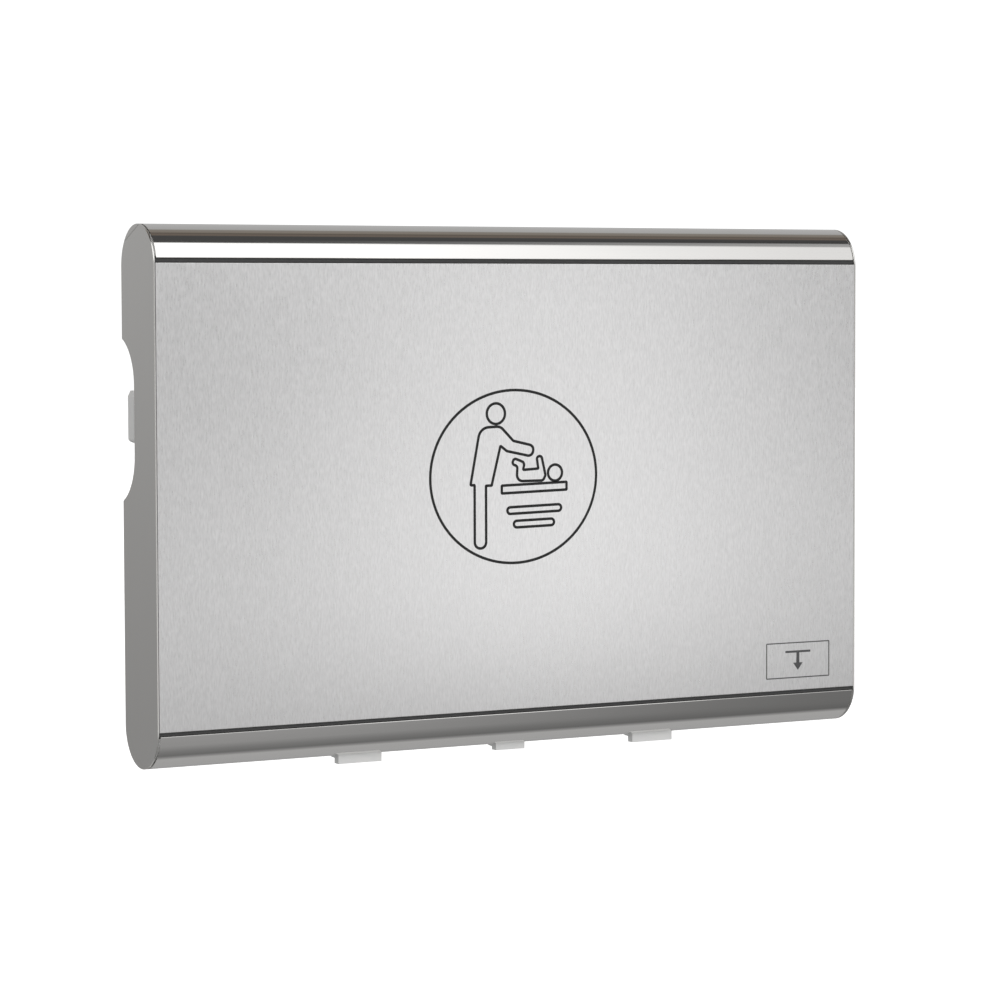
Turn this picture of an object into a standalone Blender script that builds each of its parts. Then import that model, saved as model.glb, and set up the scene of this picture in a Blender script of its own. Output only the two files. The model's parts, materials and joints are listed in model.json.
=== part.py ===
"""Horizontal fold-down baby changing station, closed against its wall, as separate parts with real joints.

Metres. X runs along the station, +Y goes into the wall, +Z is up. Heights below are counted from the
bottom of the steel shell; the root empty moves them so that the world origin is the middle of the wall face.
"""

import math

import bmesh
import bpy
from mathutils import Matrix, Vector

# Driving dimensions
WIDTH = 0.870
HEIGHT = 0.570
DEPTH = 0.088
WALL_MIDDLE = 0.285

ROUND = DEPTH / 2
HALF = WIDTH / 2
GAP = 0.0003
SHEET = 0.0010
PROFILE_SHEET = 0.0012
PLASTIC = 0.0030
SIDE_SHEET = 0.0020

# Shell: the end arcs' centres, and the dark grooves over and under the front panel
LOW_CENTRE = (-ROUND, ROUND)
HIGH_CENTRE = (-ROUND, HEIGHT - ROUND)
GROOVE_TOP = (0.5291, 0.5340)
GROOVE_BOTTOM = (0.0382, 0.0423)
GROOVE_DEPTH = 0.009
SHELL_END = HALF - SIDE_SHEET - GAP
PROFILE_END = HALF - SIDE_SHEET - 0.0015
CHEEK = 0.004
CHEEK_INNER = SHELL_END - CHEEK
CHORD_ANGLES = (35, 98)
NOTCH_MIDDLE = 0.365
NOTCH_HALF = 0.085
NOTCH_DEPTH = 0.032
NOTCH_ROUND = 0.052

# Hinge line and what turns on it
AXIS_Y = -ROUND
AXIS_Z = 0.030
SHAFT_R = 0.006
BUSH_R = 0.008
STATIONS = {"left": -0.184, "centre": 0.001, "right": 0.184}
LUG_HALF = {"left": 0.026, "centre": 0.018, "right": 0.026}
LUG_DROP = {"left": 0.0092, "centre": 0.0070, "right": 0.0095}
EAR_OFFSET = 0.012
EAR = 0.003
ARM = 0.004
SHAFT_HALF = 0.230

# Wall unit
PLATE = 0.0025
PLATE_HALF = 0.412
PLATE_Z = (0.040, 0.528)
HOUSING_FRONT = -0.020
HOUSING_HALF = 0.416
HOUSING_LOW_HALF = 0.386
HOUSING_STEP = 0.180
HOUSING_Z = (0.082, 0.528)
LINER_Z = (0.335, 0.465)
LINER_HALF = 0.150
LINER_FRONT = -0.040
HOOK_Y = (-0.0256, -0.0075)

# Tray
RIM_Y = -0.026
FLOOR_Y = -0.070
TRAY_HALF = 0.391
TRAY_Z = (0.078, 0.558)
MOUTH_HALF = 0.366
MOUTH_Z = (0.098, 0.520)
MOUTH_ROUND = 0.050
WALL_RUN = 0.034
FLANGE_STEP = 0.310

# Gas struts: the wall pivot and the bed pivot
STRUT_X = 0.404
STRUT_WALL = (-0.014, 0.084)
STRUT_BED = (-0.064, 0.280)
TUBE_R = 0.009
TUBE_LENGTH = 0.150
ROD_R = 0.004
EYE_R = 0.008
PIN_R = 0.004
EYE_HALF = 0.0045
ROD_LENGTH = 0.152

COLLECTION = "changing_station"


def start():
    for obj in list(bpy.data.objects):
        bpy.data.objects.remove(obj)
    for name in (COLLECTION, "cutters"):
        collection = bpy.data.collections.new(name)
        bpy.context.scene.collection.children.link(collection)


def finish(name, colour, roughness, metallic=0.0):
    material = bpy.data.materials.new(name)
    material.use_nodes = True
    shader = material.node_tree.nodes["Principled BSDF"]
    shader.inputs["Base Color"].default_value = (*colour, 1.0)
    shader.inputs["Roughness"].default_value = roughness
    shader.inputs["Metallic"].default_value = metallic
    material.diffuse_color = (*colour, 1.0)
    return material


def brushed():
    return finish("brushed_steel", (0.62, 0.62, 0.61), 0.35, 1.0)


def polished():
    return finish("polished_steel", (0.55, 0.54, 0.52), 0.12, 1.0)


def zinc():
    return finish("zinc_steel", (0.50, 0.50, 0.50), 0.45, 1.0)


def light_plastic():
    return finish("light_plastic", (0.70, 0.70, 0.69), 0.50)


def dark_rubber():
    return finish("dark_rubber", (0.03, 0.03, 0.03), 0.70)


def bronze():
    return finish("bronze", (0.55, 0.38, 0.18), 0.40, 1.0)


def webbing():
    return finish("webbing", (0.05, 0.05, 0.06), 0.85)


def black_plastic():
    return finish("black_plastic", (0.03, 0.03, 0.03), 0.45)


def paper():
    return finish("paper", (0.85, 0.85, 0.83), 0.90)


def add(name, mesh, material):
    obj = bpy.data.objects.new(name, mesh)
    obj.data.materials.clear()
    obj.data.materials.append(material)
    bpy.data.collections[COLLECTION].objects.link(obj)
    return obj


def arc(centre, radius, first, last, steps):
    """Points on an arc, its angles in degrees."""
    turns = [math.radians(first + (last - first) * i / steps) for i in range(steps + 1)]
    return [(centre[0] + radius * math.cos(t), centre[1] + radius * math.sin(t)) for t in turns]


def rounded(corners, radius, steps=4):
    """A closed outline with each corner turned into an arc that is tangent to both its sides."""
    points = []
    for i, corner in enumerate(corners):
        here = Vector(corner)
        back = (Vector(corners[i - 1]) - here).normalized()
        ahead = (Vector(corners[(i + 1) % len(corners)]) - here).normalized()
        half = back.angle(ahead) / 2
        middle = here + (back + ahead).normalized() * radius / math.sin(half)
        first = here + back * radius / math.tan(half) - middle
        last = here + ahead * radius / math.tan(half) - middle
        for s in range(steps + 1):
            points.append(tuple(middle + first.slerp(last, s / steps).normalized() * radius))
    return points


def rectangle(low, high):
    return [(low[0], low[1]), (high[0], low[1]), (high[0], high[1]), (low[0], high[1])]


def circle(centre, radius, steps=20):
    return arc(centre, radius, 0, 360, steps)[:-1]


def drawn_out(outline, depth):
    """One outline as a face that is extruded to a depth."""
    cage = bmesh.new()
    face = cage.faces.new([cage.verts.new((u, v, -depth / 2)) for u, v in outline])
    made = bmesh.ops.extrude_face_region(cage, geom=[face])["geom"]
    moved = [v for v in made if isinstance(v, bmesh.types.BMVert)]
    bmesh.ops.translate(cage, vec=(0, 0, depth), verts=moved)
    return cage


def drawn_out_with_holes(loops, depth):
    """An outline with holes in it, as a filled curve that is extruded to a depth."""
    drawing = bpy.data.curves.new("outline", "CURVE")
    drawing.dimensions = "2D"
    drawing.fill_mode = "BOTH"
    drawing.extrude = depth / 2
    for loop in loops:
        spline = drawing.splines.new("POLY")
        spline.points.add(len(loop) - 1)
        for point, (u, v) in zip(spline.points, loop):
            point.co = (u, v, 0, 1)
        spline.use_cyclic_u = True
    drawn = bpy.data.objects.new("outline", drawing)
    cage = bmesh.new()
    cage.from_mesh(bpy.data.meshes.new_from_object(drawn))
    bpy.data.objects.remove(drawn)
    bmesh.ops.remove_doubles(cage, verts=cage.verts, dist=1e-6)
    return cage


def prism(name, loops, low, high, along, material):
    """Outlines (the first is the outside, the others are holes) drawn out from low to high along X or Y."""
    depth, middle = high - low, (low + high) / 2
    cage = drawn_out(loops[0], depth) if len(loops) == 1 else drawn_out_with_holes(loops, depth)
    if along == "X":
        place = Matrix(((0, 0, 1, middle), (1, 0, 0, 0), (0, 1, 0, 0), (0, 0, 0, 1)))
    else:
        place = Matrix(((1, 0, 0, 0), (0, 0, -1, middle), (0, 1, 0, 0), (0, 0, 0, 1)))
    bmesh.ops.transform(cage, matrix=place, verts=cage.verts)
    bmesh.ops.recalc_face_normals(cage, faces=cage.faces)
    mesh = bpy.data.meshes.new(name)
    cage.to_mesh(mesh)
    cage.free()
    return add(name, mesh, material)


def block(name, low, high, material, bevel=0.0):
    """A box from its lowest to its highest corner, with its edges rounded when bevel is given."""
    low, high = Vector(low), Vector(high)
    cage = bmesh.new()
    bmesh.ops.create_cube(cage, size=1.0)
    bmesh.ops.scale(cage, vec=high - low, verts=cage.verts)
    mesh = bpy.data.meshes.new(name)
    cage.to_mesh(mesh)
    cage.free()
    obj = add(name, mesh, material)
    obj.location = (low + high) / 2
    if bevel:
        edges = obj.modifiers.new("rounded edges", "BEVEL")
        edges.width = bevel
        edges.segments = 2
    return obj


def turned(name, start_point, end_point, outline, material, steps=20):
    """A solid of revolution: outline is (radius, distance) from start_point towards end_point."""
    start_point, end_point = Vector(start_point), Vector(end_point)
    mesh = bpy.data.meshes.new(name)
    points = [(radius, 0, distance) for radius, distance in reversed(outline)]
    mesh.from_pydata(points, [(i, i + 1) for i in range(len(points) - 1)], [])
    obj = add(name, mesh, material)
    obj.location = start_point
    obj.rotation_euler = (end_point - start_point).to_track_quat("Z", "Y").to_euler()
    screw = obj.modifiers.new("turned", "SCREW")
    screw.steps = steps
    screw.render_steps = steps
    screw.use_merge_vertices = True
    screw.merge_threshold = 0.00001
    return obj


def combine(obj, helpers, operation):
    """Joins helper solids to an object (UNION) or takes them away from it (DIFFERENCE)."""
    for helper in helpers:
        bpy.data.collections[COLLECTION].objects.unlink(helper)
        bpy.data.collections["cutters"].objects.link(helper)
        helper.hide_render = True
        helper.display_type = "WIRE"
        boolean = obj.modifiers.new(helper.name, "BOOLEAN")
        boolean.operation = operation
        boolean.solver = "EXACT"
        boolean.object = helper


def cylinder_outline(radius, length):
    return [(0, 0), (radius, 0), (radius, length), (0, length)]


def sides():
    return (("left", -1), ("right", 1))


# Shell of the bed -----------------------------------------------------------------------------------


def notch(depth):
    """The cut-out in a side's back edge, from its bottom to its top."""
    radius = NOTCH_ROUND - (NOTCH_DEPTH - depth)
    centre_y = NOTCH_ROUND - NOTCH_DEPTH
    turn = math.degrees(math.acos(centre_y / radius))
    straight = NOTCH_HALF - math.sqrt(NOTCH_ROUND**2 - centre_y**2)
    low = arc((centre_y, NOTCH_MIDDLE - straight), radius, 180 + turn, 180, 6)
    high = arc((centre_y, NOTCH_MIDDLE + straight), radius, 180, 180 - turn, 6)
    return low + high


def side_plate_outline():
    """The steel end plate: a stadium with its two back corners cut straight, and the notch."""
    first, last = CHORD_ANGLES
    low = arc(LOW_CENTRE, ROUND, 180, 360 - last, 12) + arc(LOW_CENTRE, ROUND, 360 - first, 360, 4)
    high = arc(HIGH_CENTRE, ROUND, 0, first, 4) + arc(HIGH_CENTRE, ROUND, last, 180, 12)
    return low + notch(NOTCH_DEPTH) + high


def lip_slot(groove):
    """Where the cheek makes room for the folded lips and the strip in a groove."""
    inner = -DEPTH + GROOVE_DEPTH + PROFILE_SHEET
    low, high = groove[0] - 0.0022, groove[1] + 0.0022
    return [(-DEPTH + 0.0030, high), (inner, high), (inner, low), (-DEPTH + 0.0030, low)]


def cheek_outline():
    """The plastic cheek: inside the sheet metal at the front, and at the shell's full round at the back."""
    inset = ROUND - 0.0022
    low = arc(LOW_CENTRE, inset, 192, 266, 10) + arc(LOW_CENTRE, ROUND, 270, 360, 12)
    high = arc(HIGH_CENTRE, ROUND, 0, 81, 12) + arc(HIGH_CENTRE, inset, 81, 165, 10)
    return low + notch(NOTCH_DEPTH - 0.0015) + high + lip_slot(GROOVE_TOP) + lip_slot(GROOVE_BOTTOM)


def make_sides():
    made = []
    for side, sign in sides():
        outer = sorted((sign * HALF, sign * (HALF - SIDE_SHEET)))
        made.append(prism(f"side_plate_{side}", [side_plate_outline()], *outer, "X", brushed()))
        inner = sorted((sign * SHELL_END, sign * CHEEK_INNER))
        made.append(prism(f"cheek_{side}", [cheek_outline()], *inner, "X", light_plastic()))
    return made


def make_front_panel():
    """A sheet with its upper and lower edges folded back into the grooves."""
    face, back, lip = -DEPTH, -DEPTH + SHEET, -DEPTH + GROOVE_DEPTH
    low, high = GROOVE_BOTTOM[1], GROOVE_TOP[0]
    outline = [
        (face, low), (lip, low), (lip, low + SHEET), (back, low + SHEET),
        (back, high - SHEET), (lip, high - SHEET), (lip, high), (face, high),
    ]
    return prism("front_panel", [outline], -SHELL_END, SHELL_END, "X", brushed())


def profile_outline(centre, edge, last, lip_side):
    """A curved edge profile from its groove (edge, a height) round to the angle last, with a folded lip."""
    inner = ROUND - PROFILE_SHEET
    first = 180 - math.degrees(math.asin((edge - centre[1]) / ROUND))
    fold = edge + lip_side * PROFILE_SHEET
    first_inner = 180 - math.degrees(math.asin((fold - centre[1]) / inner))
    lip = -DEPTH + GROOVE_DEPTH
    outer_arc = arc(centre, ROUND, first, last, 16)
    inner_arc = arc(centre, inner, last, first_inner, 16)
    return outer_arc + inner_arc + [(lip, fold), (lip, edge)]


def make_profiles():
    top = profile_outline(HIGH_CENTRE, GROOVE_TOP[1], 84, 1)
    bottom = profile_outline(LOW_CENTRE, GROOVE_BOTTOM[0], 265, -1)
    made = [
        prism("top_profile", [top], -PROFILE_END, PROFILE_END, "X", polished()),
        prism("bottom_profile", [bottom], -PROFILE_END, PROFILE_END, "X", polished()),
    ]
    cover = arc(HIGH_CENTRE, ROUND, 82, 15, 12) + arc(HIGH_CENTRE, ROUND - 0.0025, 15, 82, 12)
    end = CHEEK_INNER - GAP
    made.append(prism("rear_top_cover", [cover], -end, end, "X", light_plastic()))
    return made


def make_groove_strips():
    made = []
    for name, (low, high) in (("top_groove_strip", GROOVE_TOP), ("bottom_groove_strip", GROOVE_BOTTOM)):
        first = (-SHELL_END, -DEPTH + 0.002, low + GAP)
        last = (SHELL_END, -DEPTH + GROOVE_DEPTH, high - GAP)
        made.append(block(name, first, last, dark_rubber()))
    return made


# Tray -----------------------------------------------------------------------------------------------


def mouth_inset(x, z):
    """How far a point is inside the tray's rounded mouth; negative outside it."""
    middle_z = (MOUTH_Z[0] + MOUTH_Z[1]) / 2
    over_x = abs(x) - (MOUTH_HALF - MOUTH_ROUND)
    over_z = abs(z - middle_z) - ((MOUTH_Z[1] - MOUTH_Z[0]) / 2 - MOUTH_ROUND)
    corner = math.hypot(max(over_x, 0), max(over_z, 0))
    return MOUTH_ROUND - corner - min(max(over_x, over_z), 0)


def tray_y(x, z):
    """The tray's inner surface: a flat rim, a smooth wall, and a floor that is a little dished."""
    run = min(max(mouth_inset(x, z) / WALL_RUN, 0), 1)
    smooth = run * run * (3 - 2 * run)
    dish = 0.003 * (1 + math.cos(math.pi * min(abs(x) / MOUTH_HALF, 1))) / 2
    return RIM_Y + smooth * (FLOOR_Y - RIM_Y - dish)


def spread(edge, mouth, middle_steps):
    """Grid lines from -edge to edge, close together where the wall falls and wide apart on the floor."""
    wall = [mouth - WALL_RUN * i / 5 for i in range(6)]
    flat = wall[-1]
    floor = [flat * (1 - 2 * i / middle_steps) for i in range(1, middle_steps)]
    return [edge, mouth + 0.008] + wall + floor + [-v for v in reversed(wall)] + [-mouth - 0.008, -edge]


def make_tray():
    """A moulding with a dished surface, a rim, and an apron by the hinge; it stops short of the struts."""
    middle_z = (MOUTH_Z[0] + MOUTH_Z[1]) / 2
    half_z = (MOUTH_Z[1] - MOUTH_Z[0]) / 2
    end = CHEEK_INNER - GAP
    columns = [end] + spread(TRAY_HALF, MOUTH_HALF, 8) + [-end]
    heights = [middle_z + v for v in spread(half_z + 0.010, half_z, 6)]
    heights[0], heights[-1] = TRAY_Z[1], TRAY_Z[0]
    heights = sorted(heights + [FLANGE_STEP])
    cage = bmesh.new()
    rows = [[cage.verts.new((x, tray_y(x, z), z)) for x in columns] for z in heights]
    rows.insert(0, [cage.verts.new((x, -0.078, TRAY_Z[0])) for x in columns])
    for level in range(len(rows) - 1):
        low_row, high_row = rows[level], rows[level + 1]
        wide = level > 0 and heights[level - 1] >= FLANGE_STEP
        for i in range(len(columns) - 1):
            if wide or 0 < i < len(columns) - 2:
                cage.faces.new((low_row[i], low_row[i + 1], high_row[i + 1], high_row[i]))
    loose = [v for v in cage.verts if not v.link_faces]
    bmesh.ops.delete(cage, geom=loose, context="VERTS")
    mesh = bpy.data.meshes.new("tray")
    cage.to_mesh(mesh)
    cage.free()
    obj = add("tray", mesh, light_plastic())
    skin = obj.modifiers.new("moulded wall", "SOLIDIFY")
    skin.thickness = PLASTIC
    skin.offset = -1
    return obj


def floor_strip(name, x, half, first, last, thickness, material):
    """A band that lies along the tray's inner surface at x, from one height to another."""
    steps, lift = 14, GAP + 0.0004
    heights = [first + (last - first) * i / steps for i in range(steps + 1)]
    under = [(tray_y(x, z) + lift, z) for z in heights]
    over = [(y + thickness, z) for y, z in reversed(under)]
    return prism(name, [under + over], x - half, x + half, "X", material)


def make_strap():
    """A safety strap in two halves, with the two halves of its buckle."""
    x, half, thick = 0.0, 0.019, 0.0016
    made = [
        floor_strip("strap_lower", x, half, 0.132, 0.276, thick, webbing()),
        floor_strip("strap_upper", x, half, 0.330, 0.487, thick, webbing()),
    ]
    floor = tray_y(x, 0.3) + 0.0010
    made.append(block("buckle_socket", (x - 0.026, floor, 0.2765), (x + 0.026, floor + 0.013, 0.3100),
                      black_plastic(), 0.003))
    made.append(block("buckle_tongue", (x - 0.024, floor + 0.001, 0.3104), (x + 0.024, floor + 0.012, 0.3295),
                      black_plastic(), 0.002))
    return made


# Bed frame and hinge --------------------------------------------------------------------------------


def make_stiffener():
    """A folded channel behind the front panel, which the tray's floor rests against."""
    low, high, foot, sheet = 0.290, 0.320, 0.006, 0.0015
    back, front = -DEPTH + SHEET + GAP, -0.0768
    outline = [
        (back, low), (back + sheet, low), (back + sheet, low + foot), (front, low + foot),
        (front, high - foot), (back + sheet, high - foot), (back + sheet, high), (back, high),
        (back, high - foot - sheet), (front - sheet, high - foot - sheet),
        (front - sheet, low + foot + sheet), (back, low + foot + sheet),
    ]
    return prism("panel_stiffener", [outline], -0.420, 0.420, "X", zinc())


def make_hinge_rail():
    """The flat bar along the bottom that ties the hinge arms and carries the stop lugs."""
    return block("hinge_rail", (-0.420, -0.0467, 0.0012), (0.420, -0.0360, 0.0042), zinc())


def arm_outline():
    """A hinge arm of the bed: an eye on the shaft, a foot on the rail, and a pad behind the front panel."""
    foot = ROUND - 0.0045
    eye = 0.011
    round_the_eye = arc((AXIS_Y, AXIS_Z), eye, 0, 180, 8)
    belly = arc(LOW_CENTRE, foot, 209, 270, 10)
    inner, outer, low, high = -0.0725, -0.0866, 0.0460, 0.0600
    pad = [(inner, AXIS_Z), (inner, high), (outer, high), (outer, low), (belly[0][0], low)]
    return round_the_eye + pad + belly + [(AXIS_Y + eye, LOW_CENTRE[1] - foot)]


def ear_outline():
    """A hinge bracket's ear: from its foot on the wall plate out to an eye round the shaft's bush."""
    foot_y = -PLATE - GAP - 0.003
    return [(foot_y, 0.056), (foot_y, 0.078)] + arc((AXIS_Y, AXIS_Z), 0.0125, 128, 312, 12)


def make_hinge_bracket(side, x):
    """A base on the wall plate with two ears. The base's thick edge stops the bed's lug at 90 degrees."""
    reach = LUG_HALF[side] + 0.004
    back = -PLATE - GAP
    bush = circle((AXIS_Y, AXIS_Z), BUSH_R + GAP)
    ears = []
    for sign in (-1, 1):
        inner = x + sign * EAR_OFFSET
        low, high = sorted((inner, inner + sign * EAR))
        ears.append(prism(f"ear_{side}_{sign}", [ear_outline(), bush], low, high, "X", zinc()))
    stop_y, thin_y, low, high = -0.009, back - 0.004, 0.0334, 0.080
    base = [(back, low), (stop_y, low), (stop_y, 0.047), (thin_y, 0.051), (thin_y, high), (back, high)]
    bracket = prism(f"hinge_bracket_{side}", [base], x - reach, x + reach, "X", zinc())
    combine(bracket, ears, "UNION")
    return bracket


def make_bushes(side, x):
    """Flanged bushes, one in each ear of a bracket."""
    made = []
    for number, sign in ((1, -1), (2, 1)):
        start_x = x + sign * (EAR_OFFSET - 0.0016)
        outline = [
            (SHAFT_R + GAP, 0), (0.0105, 0), (0.0105, 0.0013), (BUSH_R, 0.0013),
            (BUSH_R, 0.0052), (SHAFT_R + GAP, 0.0052), (SHAFT_R + GAP, 0),
        ]
        first, last = (start_x, AXIS_Y, AXIS_Z), (start_x + sign, AXIS_Y, AXIS_Z)
        made.append(turned(f"hinge_bush_{side}_{number}", first, last, outline, bronze()))
    return made


def make_hinge_arm(side, x):
    hole = circle((AXIS_Y, AXIS_Z), SHAFT_R + GAP)
    return prism(f"hinge_arm_{side}", [arm_outline(), hole], x - ARM / 2, x + ARM / 2, "X", zinc())


def make_stop_lug(side, x):
    """A plastic-covered lug under the bottom edge. Its front lip meets the bracket when the bed is open."""
    drop, half = -LUG_DROP[side], LUG_HALF[side]
    outline = rounded([(-0.0470, 0.0009), (-0.0470, drop), (-0.0410, drop), (-0.0410, -0.0035),
                       (-0.0320, -0.0030), (-0.0320, 0.0009)], 0.0003, 2)
    return prism(f"stop_lug_{side}", [outline], x - half, x + half, "X", light_plastic())


def make_shaft():
    chamfer, length = 0.0008, 2 * SHAFT_HALF
    outline = [
        (0, 0), (SHAFT_R - chamfer, 0), (SHAFT_R, chamfer),
        (SHAFT_R, length - chamfer), (SHAFT_R - chamfer, length), (0, length),
    ]
    first, last = (-SHAFT_HALF, AXIS_Y, AXIS_Z), (SHAFT_HALF, AXIS_Y, AXIS_Z)
    made = [turned("hinge_shaft", first, last, outline, zinc(), 24)]
    for side, sign in sides():
        first = (sign * (SHAFT_HALF + GAP), AXIS_Y, AXIS_Z)
        last = (sign * (SHAFT_HALF + 1), AXIS_Y, AXIS_Z)
        cap = [(0, 0), (0.0095, 0), (0.0095, 0.004), (0.0070, 0.0065), (0, 0.0065)]
        made.append(turned(f"shaft_cap_{side}", first, last, cap, zinc(), 6))
    return made


def make_bed_strut_brackets():
    """Small brackets inside the cheeks that the struts' rod ends sit against."""
    made = []
    y, z = STRUT_BED
    for side, sign in sides():
        face = STRUT_X + EYE_HALF + GAP
        low, high = sorted((sign * face, sign * (CHEEK_INNER - GAP)))
        outline = rounded(rectangle((y - 0.011, z - 0.011), (y + 0.011, z + 0.020)), 0.006)
        made.append(prism(f"strut_bracket_bed_{side}", [outline], low, high, "X", zinc()))
    return made


# Gas struts -----------------------------------------------------------------------------------------


def strut_direction():
    step = Vector((0, STRUT_BED[0] - STRUT_WALL[0], STRUT_BED[1] - STRUT_WALL[1]))
    return step.normalized(), step.length


def make_strut(side, sign):
    """A closed gas spring: the tube turns on its wall pin, and the rod runs in the tube."""
    direction, length = strut_direction()
    x = sign * STRUT_X
    foot = Vector((x, *STRUT_WALL))
    head = Vector((x, *STRUT_BED))
    tube_start = foot + direction * (EYE_R + 0.002)
    bore, mouth = 0.0075, ROD_R + GAP
    shell = [(0, 0), (TUBE_R, 0), (TUBE_R, TUBE_LENGTH), (mouth, TUBE_LENGTH), (mouth, TUBE_LENGTH - 0.012),
             (bore, TUBE_LENGTH - 0.012), (bore, 0.003), (0, 0.003)]
    tube = turned(f"strut_tube_{side}", tube_start, head, shell, black_plastic())
    combine(tube, tube_eye(side, foot, tube_start, direction), "UNION")
    rod_start = head - direction * ROD_LENGTH
    piston = bore - GAP
    stem = [(0, 0), (piston, 0), (piston, 0.008), (ROD_R, 0.008), (ROD_R, ROD_LENGTH - EYE_R + 0.001),
            (0, ROD_LENGTH - EYE_R + 0.001)]
    rod = turned(f"strut_rod_{side}", rod_start, head, stem, polished())
    combine(rod, [rod_eye(side, head)], "UNION")
    return tube, rod


def tube_eye(side, foot, tube_start, direction):
    """The tube's end eye, with a bore for the wall pin, and the neck between eye and tube."""
    across = Vector((0, -direction.z, direction.y)) * 0.005
    neck = [foot + across + direction * 0.006, foot - across + direction * 0.006,
            tube_start - across + direction * 0.001, tube_start + across + direction * 0.001]
    low, high = foot.x - EYE_HALF, foot.x + EYE_HALF
    loops = [circle((foot.y, foot.z), EYE_R), circle((foot.y, foot.z), PIN_R + GAP, 16)]
    return [prism(f"tube_neck_{side}", [[(p.y, p.z) for p in neck]], low, high, "X", zinc()),
            prism(f"tube_eye_{side}", loops, low, high, "X", zinc())]


def rod_eye(side, head):
    """The rod's end eye: a flat disc beside the bed's bracket."""
    outline = circle((head.y, head.z), EYE_R)
    return prism(f"rod_eye_{side}", [outline], head.x - EYE_HALF, head.x + EYE_HALF, "X", zinc())


def make_wall_strut_brackets():
    """An angle on the wall plate with the pin that each strut's tube turns on."""
    made = []
    y, z = STRUT_WALL
    back = -PLATE - GAP
    for side, sign in sides():
        low, high = sorted((sign * (STRUT_X - 0.016), sign * (PLATE_HALF - 0.0005)))
        foot_low, foot_high = (low, back - 0.002, z - 0.022), (high, back, z + 0.020)
        foot = block(f"strut_bracket_wall_{side}", foot_low, foot_high, zinc())
        inner = STRUT_X - EYE_HALF - GAP
        ear_low, ear_high = sorted((sign * (inner - 0.004), sign * inner))
        ear = [(back - 0.001, z - 0.014), (back - 0.001, z + 0.008)] + arc(STRUT_WALL, EYE_R, 60, 300, 10)
        pin_start = (sign * (inner - 0.002), y, z)
        pin_end = (sign * (STRUT_X + 1), y, z)
        pin = cylinder_outline(PIN_R, 2 * EYE_HALF + 0.004)
        combine(foot, [
            prism(f"wall_ear_{side}", [ear], ear_low, ear_high, "X", zinc()),
            turned(f"wall_pin_{side}", pin_start, pin_end, pin, zinc(), 16),
        ], "UNION")
        made.append(foot)
    return made


# Wall unit ------------------------------------------------------------------------------------------


def make_backing_plate():
    """The steel plate that is screwed to the wall through six holes."""
    outline = rounded(rectangle((-PLATE_HALF, PLATE_Z[0]), (PLATE_HALF, PLATE_Z[1])), 0.008, 3)
    holes = [circle((x, z), 0.004, 12) for x in (-0.330, 0.0, 0.330) for z in (0.120, 0.490)]
    return prism("backing_plate", [outline] + holes, -PLATE, 0.0, "Y", zinc())


def housing_outline(inset):
    low, high = HOUSING_Z[0] + inset, HOUSING_Z[1] - inset
    wide, narrow, step = HOUSING_HALF - inset, HOUSING_LOW_HALF - inset, HOUSING_STEP + inset
    return [(-narrow, low), (narrow, low), (narrow, step), (wide, step),
            (wide, high), (-wide, high), (-wide, step), (-narrow, step)]


def screw_places():
    return [(x, z) for x in (-0.360, 0.360) for z in (0.215, 0.500)]


def make_housing():
    """A moulded cover over the wall plate, hollow at its back, narrower below where the struts swing."""
    housing = prism("wall_housing", [rounded(housing_outline(0), 0.006, 3)],
                    HOUSING_FRONT, -PLATE - GAP, "Y", light_plastic())
    hollow = prism("housing_hollow", [housing_outline(0.0025)],
                   HOUSING_FRONT + PLASTIC, 0.002, "Y", light_plastic())
    holes = [turned(f"screw_hole_{i}", (x, HOUSING_FRONT - 0.001, z), (x, 1, z),
                    cylinder_outline(0.0026, 0.010), light_plastic(), 12)
             for i, (x, z) in enumerate(screw_places())]
    combine(housing, [hollow] + holes, "DIFFERENCE")
    return housing


def make_housing_screws():
    head, shank, head_height, length = 0.0050, 0.0022, 0.0025, 0.0150
    outline = [
        (0, 0), (head - 0.0020, 0), (head, 0.0010), (head, head_height),
        (shank, head_height), (shank, length), (0, length),
    ]
    start_y = HOUSING_FRONT - GAP - head_height
    return [turned(f"housing_screw_{i + 1}", (x, start_y, z), (x, 1, z), outline, zinc(), 12)
            for i, (x, z) in enumerate(screw_places())]


def make_hinge_cover():
    """A curved hood below the housing that hides the shaft when the bed is down."""
    start_y, start_z, radius, sheet = HOUSING_FRONT - 0.001, 0.078, 0.026, 0.0025
    away = math.hypot(start_y - AXIS_Y, start_z - AXIS_Z)
    aim = math.degrees(math.atan2(start_z - AXIS_Z, start_y - AXIS_Y))
    touch = aim + math.degrees(math.acos(radius / away))
    outer = [(start_y, HOUSING_Z[0] - GAP), (start_y, start_z)]
    outer += arc((AXIS_Y, AXIS_Z), radius, touch, 175, 8)
    inner = arc((AXIS_Y, AXIS_Z), radius - sheet, 175, touch, 8)
    inner += [(start_y + sheet, start_z - 0.001), (start_y + sheet, HOUSING_Z[0] - GAP)]
    return prism("hinge_cover", [outer + inner], -0.366, 0.366, "X", light_plastic())


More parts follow.
